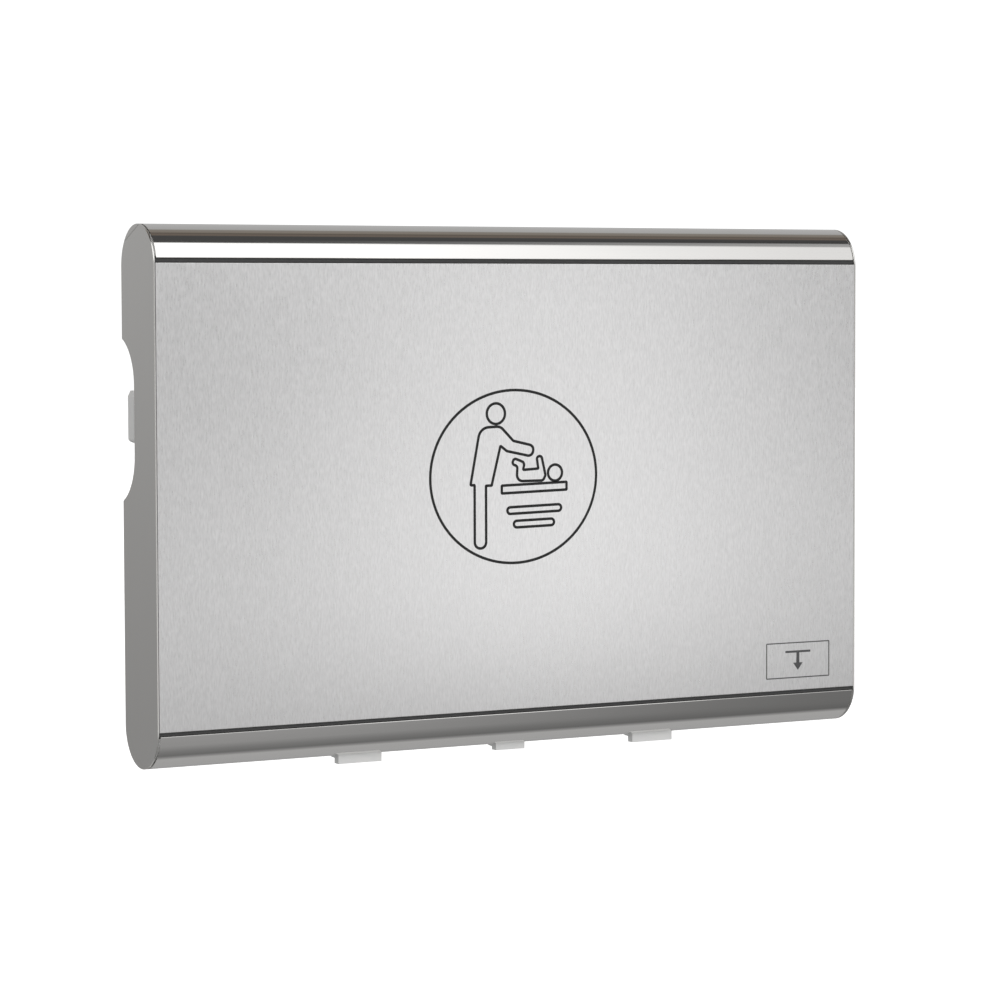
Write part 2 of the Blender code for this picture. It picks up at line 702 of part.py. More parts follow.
def make_liner_dispenser():
    """A box for paper liners on the housing, with a slotted front."""
    back, front = HOUSING_FRONT - GAP, LINER_FRONT
    low, high = LINER_Z
    box = block("liner_box", (-LINER_HALF, front, low), (LINER_HALF, back, high), light_plastic())
    sheet = 0.0025
    hollow = block("liner_hollow", (-LINER_HALF + sheet, front - 0.01, low + sheet),
                   (LINER_HALF - sheet, back - sheet, high - sheet), light_plastic())
    combine(box, [hollow], "DIFFERENCE")
    over = 0.002
    corners = rectangle((-LINER_HALF - over, low - over), (LINER_HALF + over, high + over))
    outside = rounded(corners, 0.008, 3)
    slot = rounded(rectangle((-0.085, 0.375), (0.085, 0.405)), 0.014, 4)
    cover = prism("liner_cover", [outside, slot], front - GAP - sheet, front - GAP, "Y", light_plastic())
    stack = block("liner_stack", (-0.138, front + 0.005, 0.342), (0.138, back - 0.0035, 0.455), paper())
    return [box, cover, stack]


def make_bag_hooks():
    """A hook on each side of the housing; it stands in the cut-out of the bed's side."""
    made = []
    for side, sign in sides():
        base = HOUSING_HALF + GAP
        steps = [(0, 0.337), (0.0157, 0.343), (0.0157, 0.390), (0.0127, 0.396), (0.0107, 0.396),
                 (0.0107, 0.352), (0.0030, 0.348), (0.0030, 0.384), (0, 0.388)]
        outline = [(sign * (base + u), v) for u, v in steps]
        made.append(prism(f"bag_hook_{side}", [outline], *HOOK_Y, "Y", light_plastic()))
    return made


def make_catch():
    """A magnet on the housing and its steel striker on the tray's rim."""
    front = HOUSING_FRONT - GAP
    magnet_low, magnet_high = (-0.022, front - 0.0042, 0.5030), (0.022, front, 0.5180)
    magnet = block("catch_magnet", magnet_low, magnet_high, black_plastic(), 0.0008)
    striker_low, striker_high = (-0.024, RIM_Y + GAP, 0.5240), (0.024, RIM_Y + 0.0013, 0.5400)
    striker = block("catch_striker", striker_low, striker_high, zinc())
    return magnet, striker


def make_bumpers():
    height, x, z = 0.0050, 0.398, 0.505
    outline = [(0, 0), (0.0060, 0), (0.0075, 0.0015), (0.0080, height), (0, height)]
    start_y = HOUSING_FRONT - GAP - height
    return [turned(f"bumper_{side}", (sign * x, start_y, z), (sign * x, 1, z), outline, dark_rubber(), 16)
            for side, sign in sides()]


def make_instruction_plate():
    front = HOUSING_FRONT - GAP
    return block("instruction_plate", (0.190, front - 0.0010, 0.350), (0.330, front, 0.450), light_plastic())


# Assembly -------------------------------------------------------------------------------------------


def pivot(name, place, parent=None):
    """An empty on a joint's axis."""
    empty = bpy.data.objects.new(name, None)
    empty.empty_display_size = 0.03
    empty.location = Vector(place) - (Vector(parent["place"]) if parent else Vector())
    empty.parent = parent
    empty["place"] = tuple(place)
    bpy.data.collections[COLLECTION].objects.link(empty)
    return empty


def hang(pieces, parent):
    """Parents pieces, with their Booleans' solids, to an empty, and leaves them where they are."""
    for piece in pieces:
        piece.parent = parent
        piece.location -= Vector(parent["place"])
        hang([m.object for m in piece.modifiers if m.type == "BOOLEAN"], parent)


def make_wall_unit(root):
    pieces = [make_backing_plate(), make_housing(), make_hinge_cover(), make_instruction_plate()]
    pieces += make_housing_screws() + make_liner_dispenser() + make_bag_hooks() + make_bumpers()
    pieces += make_wall_strut_brackets()
    for side, x in STATIONS.items():
        pieces.append(make_hinge_bracket(side, x))
        pieces += make_bushes(side, x)
    hang(pieces, root)


def make_bed(bed):
    pieces = make_sides() + [make_front_panel()] + make_profiles() + make_groove_strips()
    pieces += [make_tray()] + make_strap() + [make_stiffener(), make_hinge_rail()]
    for side, x in STATIONS.items():
        pieces += [make_hinge_arm(side, x), make_stop_lug(side, x)]
    pieces += make_shaft() + make_bed_strut_brackets()
    hang(pieces, bed)


def main():
    start()
    root = pivot("changing_station_root", (0, 0, 0))
    bed = pivot("bed_pivot", (0, AXIS_Y, AXIS_Z), root)
    make_wall_unit(root)
    make_bed(bed)
    magnet, striker = make_catch()
    hang([magnet], root)
    hang([striker], bed)
    for side, sign in sides():
        turning = pivot(f"strut_pivot_{side}", (sign * STRUT_X, *STRUT_WALL), root)
        sliding = pivot(f"strut_slide_{side}", (sign * STRUT_X, *STRUT_BED), turning)
        tube, rod = make_strut(side, sign)
        hang([tube], turning)
        hang([rod], sliding)
    root.location.z = -WALL_MIDDLE


main()
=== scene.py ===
"""Looks of the fold-down changing station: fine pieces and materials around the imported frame.

Metres, in the frame's own axes. Heights named like the part's are counted from the bottom of the steel
shell, and up() turns them into the frame's z.
"""

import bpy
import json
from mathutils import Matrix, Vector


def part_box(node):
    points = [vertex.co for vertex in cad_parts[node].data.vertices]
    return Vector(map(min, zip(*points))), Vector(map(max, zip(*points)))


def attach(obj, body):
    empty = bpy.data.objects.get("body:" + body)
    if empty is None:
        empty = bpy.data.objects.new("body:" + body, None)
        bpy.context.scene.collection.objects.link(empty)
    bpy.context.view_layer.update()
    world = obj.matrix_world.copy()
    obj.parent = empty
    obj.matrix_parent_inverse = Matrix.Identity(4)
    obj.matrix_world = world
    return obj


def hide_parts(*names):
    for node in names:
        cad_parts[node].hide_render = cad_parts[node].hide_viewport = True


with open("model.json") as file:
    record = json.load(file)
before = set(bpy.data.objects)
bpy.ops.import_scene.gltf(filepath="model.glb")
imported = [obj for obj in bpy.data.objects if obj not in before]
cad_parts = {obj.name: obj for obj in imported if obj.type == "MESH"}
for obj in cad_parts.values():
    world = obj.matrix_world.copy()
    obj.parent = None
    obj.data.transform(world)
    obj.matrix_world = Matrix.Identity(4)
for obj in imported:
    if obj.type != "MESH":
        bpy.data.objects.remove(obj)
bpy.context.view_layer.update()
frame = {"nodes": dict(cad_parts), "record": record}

import json
import math
import random

import bmesh
import bpy
from mathutils import Euler, Matrix, Vector

SCENE = bpy.context.scene
BODIES = {node: body for body, nodes in frame["record"]["behaviour"]["bodies"].items() for node in nodes}

# Driving dimensions, read from the frame
SIDE_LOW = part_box("side_plate_left")[0]
PANEL_LOW, PANEL_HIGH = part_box("front_panel")
HALF = -SIDE_LOW.x
DEPTH = -SIDE_LOW.y
ROUND = DEPTH / 2
SHELL_END = PANEL_HIGH.x
PROFILE_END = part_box("top_profile")[1].x
CHEEK_LOW, CHEEK_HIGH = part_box("cheek_right")
BOTTOM = CHEEK_LOW.z
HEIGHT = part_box("top_profile")[1].z - BOTTOM
LOW_CENTRE = (-ROUND, ROUND)
HIGH_CENTRE = (-ROUND, HEIGHT - ROUND)
GROOVE_TOP = (PANEL_HIGH.z - BOTTOM, PANEL_HIGH.z - BOTTOM + 0.0049)
GROOVE_BOTTOM = (PANEL_LOW.z - BOTTOM - 0.0041, PANEL_LOW.z - BOTTOM)
GROOVE_DEPTH = 0.009
SHEET = 0.0010
PROFILE_SHEET = 0.0012

# The side plates' straight-cut back corners, in degrees, and the cut-out for the bag hook
CHORD_ANGLES = (35, 98)
CAP_SEAM = 0.5
NOTCH_MIDDLE = 0.365
NOTCH_HALF = 0.085
NOTCH_DEPTH = 0.032
NOTCH_ROUND = 0.052

# The hinge line and its three stations
AXIS = (-0.044, 0.030)
STATIONS = {"left": -0.184, "centre": 0.001, "right": 0.184}

# The tray's surface
RIM_Y = -0.026
FLOOR_Y = -0.070
TRAY_HALF = 0.391
TRAY_Z = (0.078, 0.558)
MOUTH_HALF = 0.366
MOUTH_Z = (0.098, 0.520)
MOUTH_ROUND = 0.050
WALL_RUN = 0.034
FLANGE_STEP = 0.310
PLASTIC = 0.0030


def up(height):
    return BOTTOM + height


def sides():
    return (("left", -1), ("right", 1))


# Outlines -------------------------------------------------------------------------------------------


def arc(centre, radius, first, last, steps):
    """Points on an arc, its angles in degrees."""
    turns = [math.radians(first + (last - first) * i / steps) for i in range(steps + 1)]
    return [(centre[0] + radius * math.cos(t), centre[1] + radius * math.sin(t)) for t in turns]


def circle(centre, radius, steps=48):
    return arc(centre, radius, 0, 360, steps)[:-1]


def rectangle(low, high):
    return [(low[0], low[1]), (high[0], low[1]), (high[0], high[1]), (low[0], high[1])]


def round_corner(back, here, ahead, radius, steps):
    """The arc that replaces one corner, tangent to both its sides."""
    here = Vector(here)
    back, ahead = (Vector(back) - here).normalized(), (Vector(ahead) - here).normalized()
    half = back.angle(ahead) / 2
    if half > math.radians(89):
        return [tuple(here)]
    middle = here + (back + ahead).normalized() * radius / math.sin(half)
    first = here + back * radius / math.tan(half) - middle
    last = here + ahead * radius / math.tan(half) - middle
    return [tuple(middle + first.slerp(last, s / steps).normalized() * radius) for s in range(steps + 1)]


def rounded(corners, radius, steps=6):
    """A closed outline with rounded corners; radius is one number or one for each corner."""
    radii = radius if hasattr(radius, "__len__") else [radius] * len(corners)
    points = []
    for i, corner in enumerate(corners):
        ahead = corners[(i + 1) % len(corners)]
        if radii[i]:
            points += round_corner(corners[i - 1], corner, ahead, radii[i], steps)
        else:
            points.append(tuple(corner))
    return points


def bent(corners, radius, steps=5):
    """An open path with rounded bends."""
    points = [corners[0]]
    for i in range(1, len(corners) - 1):
        points += round_corner(corners[i - 1], corners[i], corners[i + 1], radius, steps)
    return points + [corners[-1]]


def offset(path, distance, closed=False):
    """The path moved sideways to its left, with mitred corners."""
    moved, last = [], len(path) - 1
    for i, here in enumerate(path):
        here = Vector(here)
        back = Vector(path[i - 1]) if i or closed else None
        ahead = Vector(path[(i + 1) % len(path)]) if i < last or closed else None
        spans = ((here - back) if back else None, (ahead - here) if ahead else None)
        ways = [span.normalized() for span in spans if span]
        normals = [Vector((-w.y, w.x)) for w in ways]
        middle = (normals[0] + normals[-1]).normalized()
        moved.append(tuple(here + middle * distance / max(middle.dot(normals[0]), 0.3)))
    return moved


def sheet_outline(path, thickness):
    """The closed outline of a folded sheet whose one face follows the path."""
    return path + list(reversed(offset(path, thickness)))


# Meshes ---------------------------------------------------------------------------------------------


def to_mesh(cage):
    bmesh.ops.recalc_face_normals(cage, faces=cage.faces)
    mesh = bpy.data.meshes.new("made")
    cage.to_mesh(mesh)
    cage.free()
    return mesh


def placed(along, middle):
    """The matrix from a drawing (u, v, depth) to the frame, for one that is drawn out along X or Y."""
    if along == "X":
        return Matrix(((0, 0, 1, middle), (1, 0, 0, 0), (0, 1, 0, BOTTOM), (0, 0, 0, 1)))
    return Matrix(((1, 0, 0, 0), (0, 0, -1, middle), (0, 1, 0, BOTTOM), (0, 0, 0, 1)))


def draw_up(cage, points, depth):
    """A flat face through the points, drawn out upwards."""
    face = cage.faces.new([cage.verts.new(point) for point in points])
    made = bmesh.ops.extrude_face_region(cage, geom=[face])["geom"]
    moved = [v for v in made if isinstance(v, bmesh.types.BMVert)]
    bmesh.ops.translate(cage, vec=(0, 0, depth), verts=moved)


def prism(loops, low, high, along):
    """Outlines, the first the outside and the others holes, drawn out from low to high along X or Y."""
    depth = high - low
    cage = bmesh.new()
    if len(loops) == 1:
        draw_up(cage, [(u, v, -depth / 2) for u, v in loops[0]], depth)
    else:
        drawing = bpy.data.curves.new("outline", "CURVE")
        drawing.dimensions = "2D"
        drawing.fill_mode = "BOTH"
        drawing.extrude = depth / 2
        for loop in loops:
            spline = drawing.splines.new("POLY")
            spline.points.add(len(loop) - 1)
            for point, (u, v) in zip(spline.points, loop):
                point.co = (u, v, 0, 1)
            spline.use_cyclic_u = True
        drawn = bpy.data.objects.new("outline", drawing)
        cage.from_mesh(bpy.data.meshes.new_from_object(drawn))
        bpy.data.objects.remove(drawn)
        bmesh.ops.remove_doubles(cage, verts=cage.verts, dist=1e-6)
    bmesh.ops.transform(cage, matrix=placed(along, (low + high) / 2), verts=cage.verts)
    return to_mesh(cage)


def slab(low, high, radius, steps, front, back):
    """A rounded rectangle in (x, height), drawn out from front to back along Y."""
    return prism([rounded(rectangle(low, high), radius, steps)], front, back, "Y")


def node_slab(node, radius, steps, holes=()):
    """A rounded rectangle as large as a CAD node's box, drawn out along Y."""
    low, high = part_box(node)
    outline = rounded(rectangle((low.x, low.z - BOTTOM), (high.x, high.z - BOTTOM)), radius, steps)
    return prism([outline, *holes], low.y, high.y, "Y")


def box_mesh(low, high):
    """A box between two corners, its heights counted from the shell's bottom."""
    return prism([rectangle((low[0], low[2]), (high[0], high[2]))], low[1], high[1], "Y")


def turned(start, way, outline, steps=48):
    """A solid of revolution: outline is (radius, distance) from start along way."""
    start, way = Vector((start[0], start[1], up(start[2]))), Vector(way).normalized()
    turn = way.to_track_quat("Z", "Y").to_matrix().to_4x4()
    cage = bmesh.new()
    rings = []
    for radius, distance in outline:
        if radius < 1e-6:
            rings.append([cage.verts.new((0, 0, distance))])
        else:
            rings.append([cage.verts.new((radius * math.cos(math.tau * i / steps),
                                          radius * math.sin(math.tau * i / steps), distance))
                          for i in range(steps)])
    for one, two in zip(rings, rings[1:]):
        for i in range(steps):
            j = (i + 1) % steps
            corners = [one[i % len(one)], one[j % len(one)], two[j % len(two)], two[i % len(two)]]
            unique = list(dict.fromkeys(corners))
            if len(unique) > 2:
                cage.faces.new(unique)
    bmesh.ops.transform(cage, matrix=Matrix.Translation(start) @ turn, verts=cage.verts)
    return to_mesh(cage)


def pin(start, way, radius, length, steps=32):
    """A plain round bar; with few steps, a bar with flats."""
    return turned(start, way, [(0, 0), (radius, 0), (radius, length), (0, length)], steps)


def merged(meshes):
    """Several meshes as one."""
    cage = bmesh.new()
    for mesh in meshes:
        cage.from_mesh(mesh)
        bpy.data.meshes.remove(mesh)
    return to_mesh(cage)


def smooth(mesh, angle=34):
    mesh.shade_smooth()
    mesh.set_sharp_from_angle(angle=math.radians(angle))


def soften(obj, width, segments=3, angle=34):
    """Rounds an object's sharp edges."""
    edges = obj.modifiers.new("rounded edges", "BEVEL")
    edges.width = width
    edges.segments = segments
    edges.limit_method = "ANGLE"
    edges.angle_limit = math.radians(angle)
    edges.harden_normals = True
    edges.miter_outer = "MITER_ARC"


def add_object(name, data):
    obj = bpy.data.objects.new(name, data)
    SCENE.collection.objects.link(obj)
    return obj


def evaluated(mesh, modifiers):
    """A mesh with modifiers applied; each is (kind, settings)."""
    body = add_object("made", mesh)
    for kind, settings in modifiers:
        modifier = body.modifiers.new(kind, kind)
        for setting, value in settings.items():
            setattr(modifier, setting, value)
    bpy.context.view_layer.update()
    made = bpy.data.meshes.new_from_object(body.evaluated_get(bpy.context.evaluated_depsgraph_get()))
    bpy.data.objects.remove(body)
    return made


def cut(mesh, cutters):
    """A mesh with the cutters taken out of it."""
    helpers = [add_object("cutter", cutter) for cutter in cutters]
    made = evaluated(mesh, [("BOOLEAN", {"operation": "DIFFERENCE", "solver": "EXACT", "object": helper})
                            for helper in helpers])
    for helper in helpers:
        bpy.data.objects.remove(helper)
    return made


def band(path, thickness, half, ribs=0, steps=5):
    """A flat band along a path in the (y, height) plane, ribbed lengthways and thin at its edges."""
    normals = [(Vector(b) - Vector(a)) / 0.001 for a, b in zip(path, offset(path, 0.001))]
    count = max(ribs, 4) * steps
    cage = bmesh.new()
    rings = []
    for (y, z), normal in zip(path, normals):
        over, under = [], []
        for i in range(count + 1):
            x = half * (2 * i / count - 1)
            edge = min(1.0, (half - abs(x)) / abs(thickness) + 0.35)
            rib = 0.10 * (1 - math.cos(math.tau * ribs * i / count)) / 2 if ribs else 0
            for row, share in ((under, 0.5 - 0.5 * edge), (over, 0.5 + 0.5 * edge - rib)):
                point = Vector((y, z)) + normal * thickness * share
                row.append(cage.verts.new((x, point.x, up(point.y))))
        rings.append(under + list(reversed(over)))
    for one, two in zip(rings, rings[1:]):
        for i in range(len(one)):
            j = (i + 1) % len(one)
            cage.faces.new((one[i], one[j], two[j], two[i]))
    for ring in (rings[0], rings[-1]):
        for i in range(count):
            cage.faces.new((ring[i], ring[i + 1], ring[-i - 2], ring[-i - 1]))
    return to_mesh(cage)


def strokes_mesh(lines, width, front, back):
    """Lines drawn on a plane that faces -Y: each is (points, closed), with (x, height) points."""
    cage = bmesh.new()
    for points, closed in lines:
        one, two = (offset(points, side * width / 2, closed) for side in (1, -1))
        rings = [[cage.verts.new((u, y, up(v))) for u, v in edge] for y in (front, back)
                 for edge in (one, two)]
        count = len(points)
        for i in range(count if closed else count - 1):
            j = (i + 1) % count
            for a, b in ((0, 1), (1, 3), (3, 2), (2, 0)):
                cage.faces.new((rings[a][i], rings[a][j], rings[b][j], rings[b][i]))
        if not closed:
            for i in (0, count - 1):
                cage.faces.new([rings[k][i] for k in (0, 1, 3, 2)])
    return to_mesh(cage)


# Pieces ---------------------------------------------------------------------------------------------


def piece(name, mesh, material, like, replaces=(), bevel=0.0, segments=3, angle=34):
    """Puts a mesh in the scene, on the body of the CAD node it is like, with the given material."""
    obj = add_object(name, mesh)
    mesh.materials.clear()
    mesh.materials.append(material)
    smooth(mesh, angle)
    if bevel:
        soften(obj, bevel, segments, angle)
    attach(obj, BODIES[like])
    if replaces:
        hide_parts(*replaces)
    return obj


def stand_in(node, mesh, material, bevel=0.0, segments=3, angle=34):
    """A fine piece that stands for one CAD node."""
    return piece(f"{node}_fine", mesh, material, node, [node], bevel, segments, angle)


def keep(node, material, bevel=0.0004):
    """A CAD node whose shape is right: it gets a material, rounded edges and smooth rounds."""
    obj = frame["nodes"][node]
    obj.data.materials.clear()
    obj.data.materials.append(material)
    weld = obj.modifiers.new("weld", "WELD")
    weld.merge_threshold = 0.00001
    soften(obj, bevel, 2)
    obj.data.shade_smooth()
    return obj


# Materials ------------------------------------------------------------------------------------------


def feed(tree, socket, value):
    """Sets a shader socket, or links it where the value is another node's output."""
    if isinstance(value, bpy.types.NodeSocket):
        tree.links.new(value, socket)
    else:
        socket.default_value = value


def shader_node(tree, kind, inputs, **settings):
    made = tree.nodes.new("ShaderNode" + kind)
    for setting, value in settings.items():
        setattr(made, setting, value)
    for socket, value in inputs.items():
        feed(tree, made.inputs[socket], value)
    return made


def math_node(tree, operation, first, second, clamp=False):
    return shader_node(tree, "Math", {0: first, 1: second}, operation=operation, use_clamp=clamp).outputs[0]


def new_shader(name, colour, roughness, metallic, settings):
    material = bpy.data.materials.new(name)
    material.use_nodes = True
    shader = material.node_tree.nodes["Principled BSDF"]
    basic = {"Base Color": (*colour, 1.0), "Roughness": roughness, "Metallic": metallic}
    for socket, value in (basic | settings).items():
        shader.inputs[socket].default_value = value
    return material, material.node_tree, shader


def layer(tree, place, stretch, detail):
    """Noise in object coordinates: stretch is its cells in a metre, one number or along X, Y and Z."""
    scale = stretch if hasattr(stretch, "__len__") else (stretch,) * 3
    mapping = shader_node(tree, "Mapping", {"Vector": place, "Scale": scale})
    return shader_node(tree, "TexNoise", {"Vector": mapping.outputs[0], "Scale": 1.0,
                                          "Detail": detail}).outputs[0]


def edge_mask(tree):
    """1 near a sharp edge and 0 on a flat face."""
    bevel = shader_node(tree, "Bevel", {"Radius": WEAR_REACH}, samples=4)
    true = tree.nodes.new("ShaderNodeNewGeometry").outputs["Normal"]
    dot = shader_node(tree, "VectorMath", {0: bevel.outputs[0], 1: true}, operation="DOT_PRODUCT")
    return math_node(tree, "MULTIPLY", math_node(tree, "SUBTRACT", 1.0, dot.outputs["Value"]), 4.0, True)


def total(tree, one, two):
    """The sum of two outputs, where there may be no first one yet."""
    return two if one is None else math_node(tree, "ADD", one, two)


def tone_colour(tree, shader, colour, tone):
    mix = shader_node(tree, "VectorMath", {0: colour, "Scale": tone}, operation="SCALE")
    feed(tree, shader.inputs["Base Color"], mix.outputs[0])


def surface(name, colour, roughness, metallic, layers, wear=0.0, settings={}):
    """A material with texture layers: (stretch, detail, colour share, roughness change, bump in metres).

    wear brightens the edges, where hands and cloths rub.
    """
    material, tree, shader = new_shader(name, colour, roughness, metallic, settings)
    place = tree.nodes.new("ShaderNodeTexCoord").outputs["Object"]
    tone = rough = normal = None
    for stretch, detail, colour_share, rough_share, bump in layers:
        height = layer(tree, place, stretch, detail)
        centred = math_node(tree, "SUBTRACT", height, 0.5)
        if colour_share:
            tone = total(tree, tone, math_node(tree, "MULTIPLY", centred, colour_share))
        if rough_share:
            rough = total(tree, rough, math_node(tree, "MULTIPLY", centred, rough_share))
        if bump:
            under = {} if normal is None else {"Normal": normal}
            normal = shader_node(tree, "Bump", {"Distance": bump, "Height": height} | under).outputs[0]
    if wear:
        tone = total(tree, tone, math_node(tree, "MULTIPLY", edge_mask(tree), wear))
    if tone is not None:
        tone_colour(tree, shader, colour, math_node(tree, "ADD", tone, 1.0))
    if rough is not None:
        feed(tree, shader.inputs["Roughness"], math_node(tree, "ADD", rough, roughness, True))
    if normal is not None:
        feed(tree, shader.inputs["Normal"], normal)
    return material


WEAR_REACH = 0.0012
PRINT_GRAIN = [(700, 2.0, 0.3, 0.15, 0.000004)]

# Each finish: colour, roughness, metallic, layers, wear, other settings of the shader
FINISHES = {
    # Satin steel with a fine vertical brush
    "panel_steel": ((0.76, 0.755, 0.755), 0.29, 1.0, [
        ((640, 640, 150), 2.0, 0.36, 0.06, 0.0), ((1500, 1500, 42), 2.0, 0.08, 0.06, 0.000001),
        ((9, 9, 5), 2.0, 0.04, 0.03, 0.0)]),
    # The end plates: smooth satin steel with a very fine grain
    "plate_steel": ((0.70, 0.69, 0.67), 0.22, 1.0, [
        ((900, 900, 30), 3.0, 0.04, 0.05, 0.000004), ((12, 12, 6), 2.0, 0.04, 0.04, 0.0)]),
    # Bright polished steel with fine lines along the profiles' length
    "profile_steel": ((0.76, 0.75, 0.735), 0.07, 1.0, [
        ((3, 1300, 1300), 3.0, 0.05, 0.04, 0.000002), ((7, 60, 60), 2.0, 0.03, 0.03, 0.0)]),
    "zinc_steel": ((0.52, 0.53, 0.54), 0.42, 1.0, [
        (260, 2.0, 0.30, 0.20, 0.00001), (38, 4.0, 0.25, 0.16, 0.0),
        (2400, 2.0, 0.06, 0.08, 0.000006)], 0.35),
    "dark_rubber": ((0.040, 0.040, 0.040), 0.62, 0.0, [
        (1600, 3.0, 0.4, 0.15, 0.00004), (60, 3.0, 0.3, 0.10, 0.0)]),
    "bronze": ((0.60, 0.42, 0.21), 0.38, 1.0, [(900, 3.0, 0.35, 0.20, 0.00002), (90, 3.0, 0.2, 0.10, 0.0)]),
    "thread": ((0.15, 0.155, 0.165), 0.6, 0.0, [(2600, 3.0, 0.5, 0.2, 0.00005)], 0.0,
               {"Sheen Weight": 0.3}),
    # Soft crepe paper
    "paper": ((0.84, 0.835, 0.815), 0.9, 0.0, [
        ((700, 700, 160), 4.0, 0.10, 0.08, 0.00012), (60, 3.0, 0.05, 0.05, 0.00010)], 0.0,
        {"Sheen Weight": 0.1}),
    # The gas springs' baked black paint
    "black_paint": ((0.016, 0.016, 0.017), 0.24, 0.0, [
        (420, 2.0, 0.10, 0.12, 0.00002), (30, 3.0, 0.15, 0.10, 0.0)], 0.5,
        {"Coat Weight": 0.3, "Coat Roughness": 0.12}),
    "chrome_rod": ((0.80, 0.80, 0.81), 0.09, 1.0, [
        (1200, 2.0, 0.03, 0.06, 0.000001), ((20, 20, 200), 3.0, 0.04, 0.05, 0.0)]),
    "ink": ((0.006, 0.006, 0.006), 0.60, 0.0, PRINT_GRAIN),
    "grey_ink": ((0.07, 0.07, 0.072), 0.5, 0.0, PRINT_GRAIN),
}


def finish(name):
    return surface(name, *FINISHES[name])


def moulded(name, colour, roughness):
    """Moulded plastic with a fine spark-eroded grain."""
    return surface(name, colour, roughness, 0.0, [(1900, 2.0, 0.03, 0.10, 0.00005),
                                                  (260, 3.0, 0.02, 0.06, 0.00002),
                                                  (14, 3.0, 0.05, 0.08, 0.0)], 0.10)


def webbing():
    """Woven polyester: two crossed rows of slanting yarns, darker in the gaps, with a soft sheen."""
    colour = (0.040, 0.042, 0.047)
    sheen = {"Sheen Weight": 0.3, "Sheen Roughness": 0.5}
    material, tree, shader = new_shader("webbing", colour, 0.74, 0.0, sheen)
    place = tree.nodes.new("ShaderNodeTexCoord").outputs["Object"]
    yarns = []
    for lean in (-1, 1):
        mapping = shader_node(tree, "Mapping", {"Vector": place, "Scale": (620 * lean, 0.0, 760)})
        wave = shader_node(tree, "TexWave", {"Vector": mapping.outputs[0], "Scale": 1.0, "Distortion": 0.6},
                           bands_direction="DIAGONAL")
        yarns.append(wave.outputs["Fac"])
    weave = math_node(tree, "MAXIMUM", *yarns)
    shade = math_node(tree, "MULTIPLY", weave, 0.8)
    fibres = math_node(tree, "MULTIPLY", layer(tree, place, 3000, 2.0), 0.7)
    tone_colour(tree, shader, colour, math_node(tree, "ADD", shade, fibres))
    bump = shader_node(tree, "Bump", {"Distance": 0.0002, "Height": weave})
    feed(tree, shader.inputs["Normal"], bump.outputs[0])
    return material


# Shell of the bed -----------------------------------------------------------------------------------


def notch(depth):
    """The cut-out in a side's back edge, from its bottom to its top."""
    radius = NOTCH_ROUND - (NOTCH_DEPTH - depth)
    centre_y = NOTCH_ROUND - NOTCH_DEPTH
    turn = math.degrees(math.acos(centre_y / radius))
    straight = NOTCH_HALF - math.sqrt(NOTCH_ROUND**2 - centre_y**2)
    low = arc((centre_y, NOTCH_MIDDLE - straight), radius, 180 + turn, 180, 20)
    high = arc((centre_y, NOTCH_MIDDLE + straight), radius, 180, 180 - turn, 20)
    return low + high


def side_plate_outline():
    first, last = CHORD_ANGLES
    low = arc(LOW_CENTRE, ROUND, 180, 360 - last, 48) + arc(LOW_CENTRE, ROUND, 360 - first, 360, 14)
    high = arc(HIGH_CENTRE, ROUND, 0, first, 14) + arc(HIGH_CENTRE, ROUND, last, 180, 48)
    return low + notch(NOTCH_DEPTH) + high


def cheek_outline():
    inset = ROUND - 0.0024
    low = arc(LOW_CENTRE, inset, 192, 266, 30) + arc(LOW_CENTRE, ROUND, 270, 360, 40)
    high = arc(HIGH_CENTRE, ROUND, 0, 81, 40) + arc(HIGH_CENTRE, inset, 81, 165, 30)
    slots = []
    for groove in (GROOVE_TOP, GROOVE_BOTTOM):
        inner, outer = -DEPTH + GROOVE_DEPTH + PROFILE_SHEET, -DEPTH + 0.0030
        bottom, top = groove[0] - 0.0022, groove[1] + 0.0022
        slots += [(outer, top), (inner, top), (inner, bottom), (outer, bottom)]
    return low + notch(NOTCH_DEPTH - 0.0015) + high + slots


def cheek_ribs(sign):
    """Stiffening ribs and screw bosses on a cheek's inner face, kept clear of the strut's swing."""
    inner = sign * CHEEK_LOW.x
    meshes = []
    low, high = sorted((inner, inner - sign * 0.0016))
    for height in (0.460, 0.475):
        meshes.append(prism([rectangle((-0.080, height), (-0.058, height + 0.0016))], low, high, "X"))
    for y, height in ((-0.070, 0.120), (-0.070, 0.440), (-0.070, 0.510)):
        meshes.append(turned((inner, y, height), (-sign, 0, 0),
                             [(0, 0), (0.0042, 0), (0.0038, 0.0022), (0.0018, 0.0022), (0.0016, 0.0008),
                              (0, 0.0008)]))
    return meshes


def corner_caps(sign):
    """Small plates that fill the end plate's straight-cut back corners, level with its face."""
    first, last = CHORD_ANGLES
    low, high = sorted((sign * CHEEK_HIGH.x, sign * (HALF - 0.0001)))
    spans = ((HIGH_CENTRE, first, last), (LOW_CENTRE, 360 - last, 360 - first))
    return [prism([arc(centre, ROUND, start + CAP_SEAM, end - CAP_SEAM, 30)], low, high, "X")
            for centre, start, end in spans]


def make_sides(steel, plastic):
    for side, sign in sides():
        outer = sorted((sign * HALF, sign * (HALF - 0.0020)))
        plate = prism([side_plate_outline()], *outer, "X")
        stand_in(f"side_plate_{side}", plate, steel, 0.0006)
        inner = sorted((sign * CHEEK_HIGH.x, sign * CHEEK_LOW.x))
        cheek = prism([cheek_outline()], *inner, "X")
        stand_in(f"cheek_{side}", cheek, plastic, 0.0005)
        piece(f"cheek_ribs_{side}", merged(cheek_ribs(sign)), plastic, f"cheek_{side}", bevel=0.0002)
        piece(f"corner_caps_{side}", merged(corner_caps(sign)), steel, f"side_plate_{side}", bevel=0.0003)


